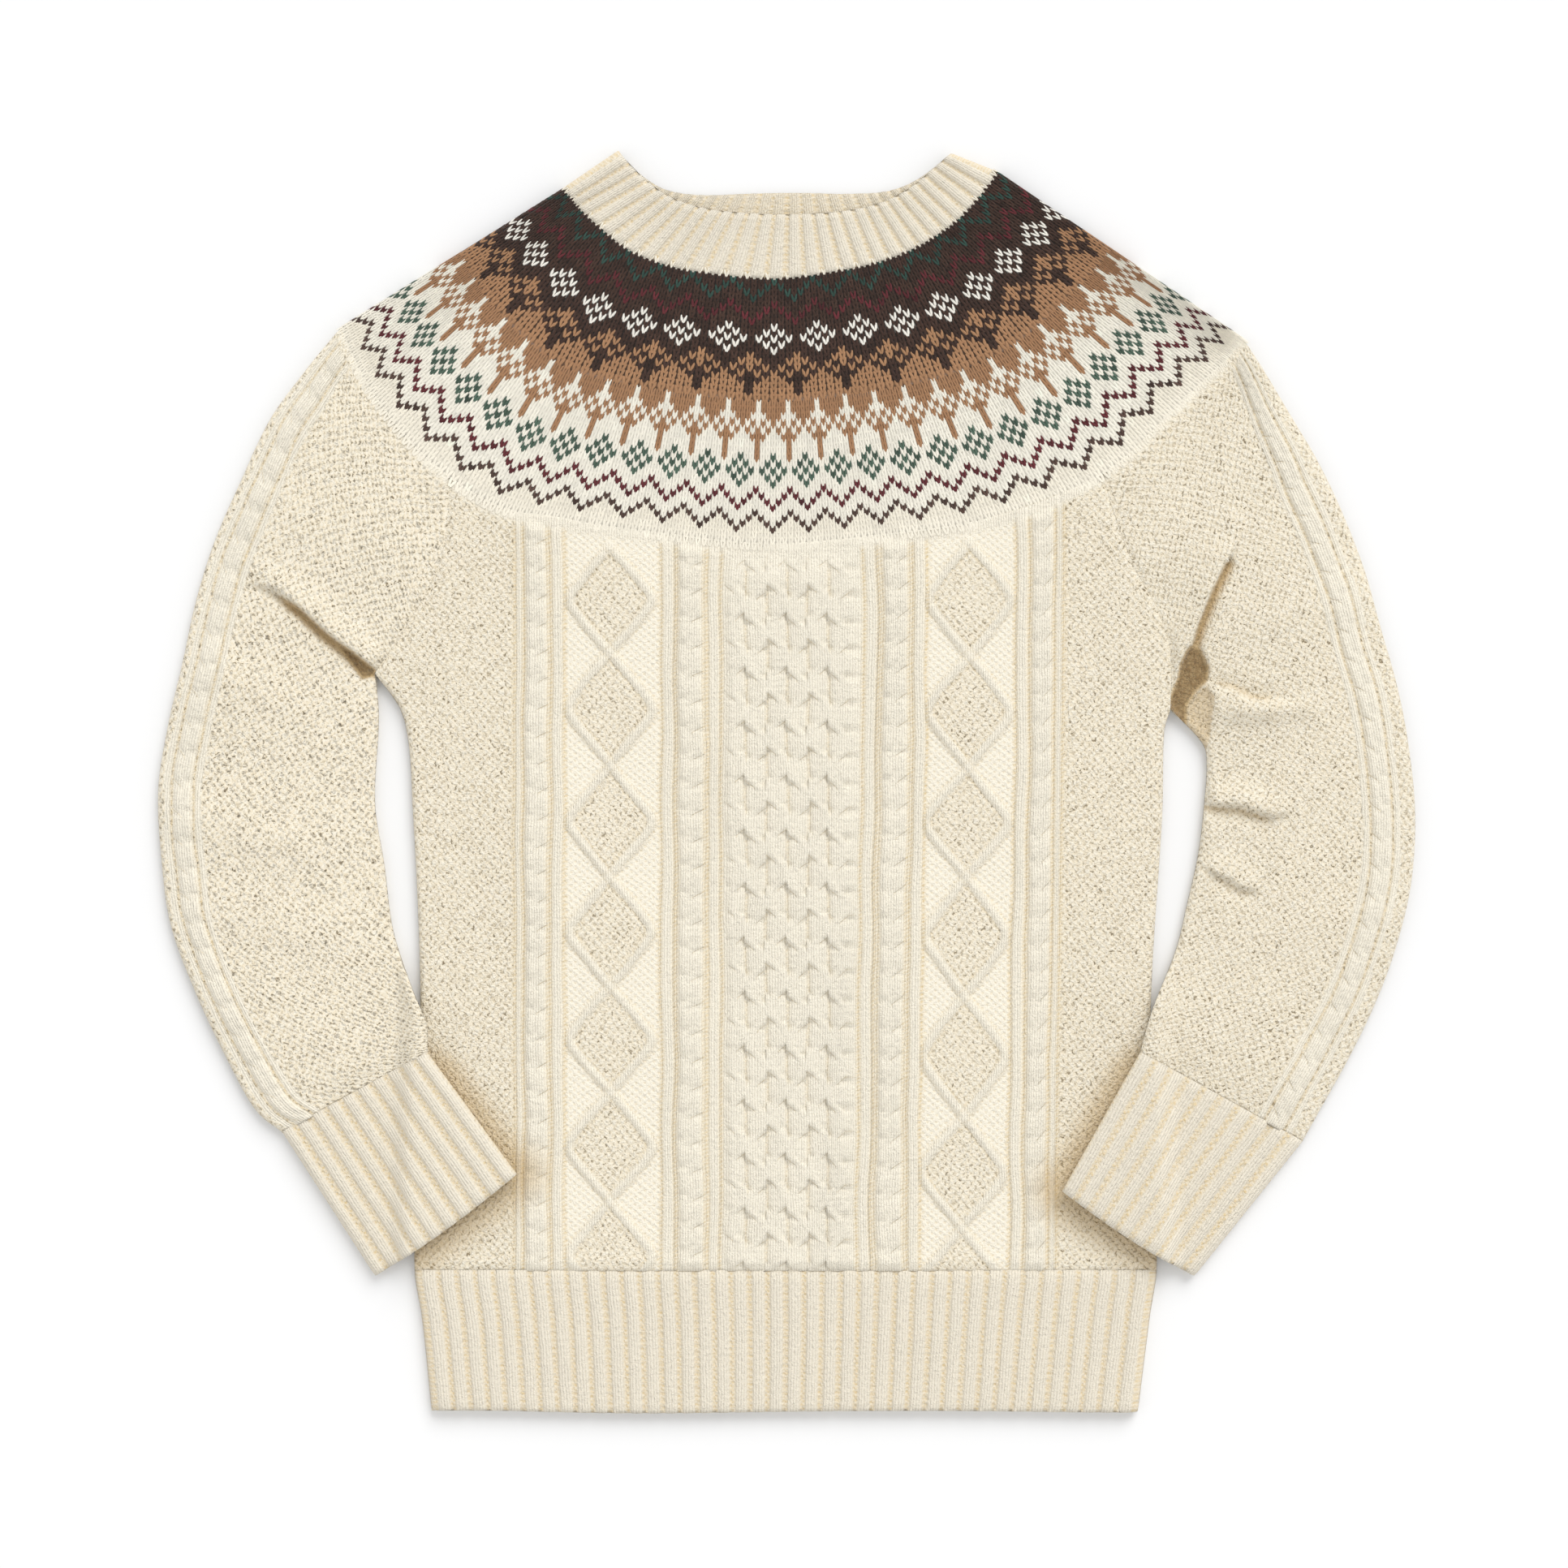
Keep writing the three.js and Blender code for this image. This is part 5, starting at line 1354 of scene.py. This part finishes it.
def fair_isle_knit(name, depth, between=0.0):
    """Coloured yarn; the ground also shows its own stitches, with this much shade between them."""
    paint = Paint(name)
    yarn = paint.node("ShaderNodeAttribute", {"attribute_name": "yarn"}, output="Color")
    fleck = paint.noise(1500.0, 3.0)
    tone = paint.noise(700.0, 2.0)
    lighter = paint.blend(0.1, yarn, light((188, 170, 140)))
    colour = paint.blend(fleck.ramp(0.5, 0.75) * 0.7, yarn, lighter)
    darker = paint.blend(0.3, yarn, (0.01, 0.008, 0.006, 1.0))
    pale = paint.node("ShaderNodeRGBToBW", {}, {"Color": yarn})
    colour = paint.blend((1 - tone.ramp(0.3, 0.5)) * (0.4 - 0.4 * pale), colour, darker)
    height = paint.noise(2600.0, 3.0) + fleck * 0.5
    if between:
        knit = stocking_stitch(paint.read("wale"), paint.read("course"))
        deepest = paint.blend(0.75, yarn, (0.01, 0.008, 0.006, 1.0))
        colour = paint.blend((1 - knit.ramp(0.1, 0.62)) * (1 - 0.85 * pale) * between, colour, deepest)
        height = height + knit * 0.8
    return paint.finish(colour, height, depth)


def pale_floor():
    paint = Paint("pale_floor")
    speckle = paint.noise(30.0, 2.0)
    colour = paint.blend(speckle * 0.02, (0.862, 0.862, 0.862, 1.0), (0.857, 0.857, 0.857, 1.0))
    return paint.finish(colour, speckle, 0.00005, roughness=0.8, sheen=0.0)


# The jumper

cream_cable = cream_knit("cream_cable_knit", CREAM)
cream_ribbing = cream_knit("cream_ribbing", RIB_CREAM)
front = body_front(cream_cable)
back = body_back(cream_cable)
hem_front = hem_rib("hem_ribbing_front", 1, cream_ribbing)
hem_back = hem_rib("hem_ribbing_back", -1, cream_ribbing)
neckband = collar(cream_ribbing)
left_arm = sleeve("left_arm", "sleeve_left", LEFT_SLEEVE, left_raglan, LEFT_INSEAM, LEFT_UNDERARM_Y, LEFT_CORNER,
                  FIRST_REPEAT, 1, LEFT_ROPE_FROM_FOLD, cream_cable, 21)
right_arm = sleeve("right_arm", "sleeve_right", RIGHT_SLEEVE, right_raglan, RIGHT_INSEAM, RIGHT_UNDERARM_Y,
                   RIGHT_CORNER, LAST_REPEAT, -1, RIGHT_ROPE_FROM_FOLD, cream_cable, 22)
left_cuff = cuff("left_wristband", LEFT_CUFF, "cuff_left", cream_ribbing)
right_cuff = cuff("right_wristband", RIGHT_CUFF, "cuff_right", cream_ribbing)
yoke = yoke_base(fair_isle_knit("fair_isle_ground", 0.0005, 0.7))
stitches = yoke_stitches(fair_isle_knit("fair_isle_yarn", 0.0003))

# Floor, light and camera

bpy.ops.mesh.primitive_plane_add(size=8, location=(0, 0, -0.0002))
floor = bpy.context.object
floor.name = "floor"
floor.data.materials.append(pale_floor())

scene = bpy.context.scene
scene.view_settings.view_transform = "Standard"
scene.view_settings.look = "None"
world = bpy.data.worlds.new("studio")
world.use_nodes = True
world.node_tree.nodes["Background"].inputs["Color"].default_value = (1.0, 1.0, 1.0, 1.0)
world.node_tree.nodes["Background"].inputs["Strength"].default_value = 0.84
scene.world = world


def soft_lamp(name, aim, spread_angle, strength):
    """A lamp so far away that it lights the whole floor evenly, with soft shadows."""
    data = bpy.data.lights.new(name, "SUN")
    data.angle, data.energy = np.radians(spread_angle), strength
    made = bpy.data.objects.new(name, data)
    made.rotation_euler = aim
    scene.collection.objects.link(made)


soft_lamp("upper_right", (np.radians(-46), np.radians(26), 0), 40, 1.7)

PICTURE_SIDE = 0.831  # width of the surface that the picture takes in
LENS = 80
SENSOR = 36
data = bpy.data.cameras.new("camera")
data.lens, data.sensor_width = LENS, SENSOR
camera = bpy.data.objects.new("camera", data)
camera.location = (-0.0014, -0.0019, PICTURE_SIDE * LENS / SENSOR + FRONT_TOP * MILLIMETRE)
scene.collection.objects.link(camera)
scene.camera = camera
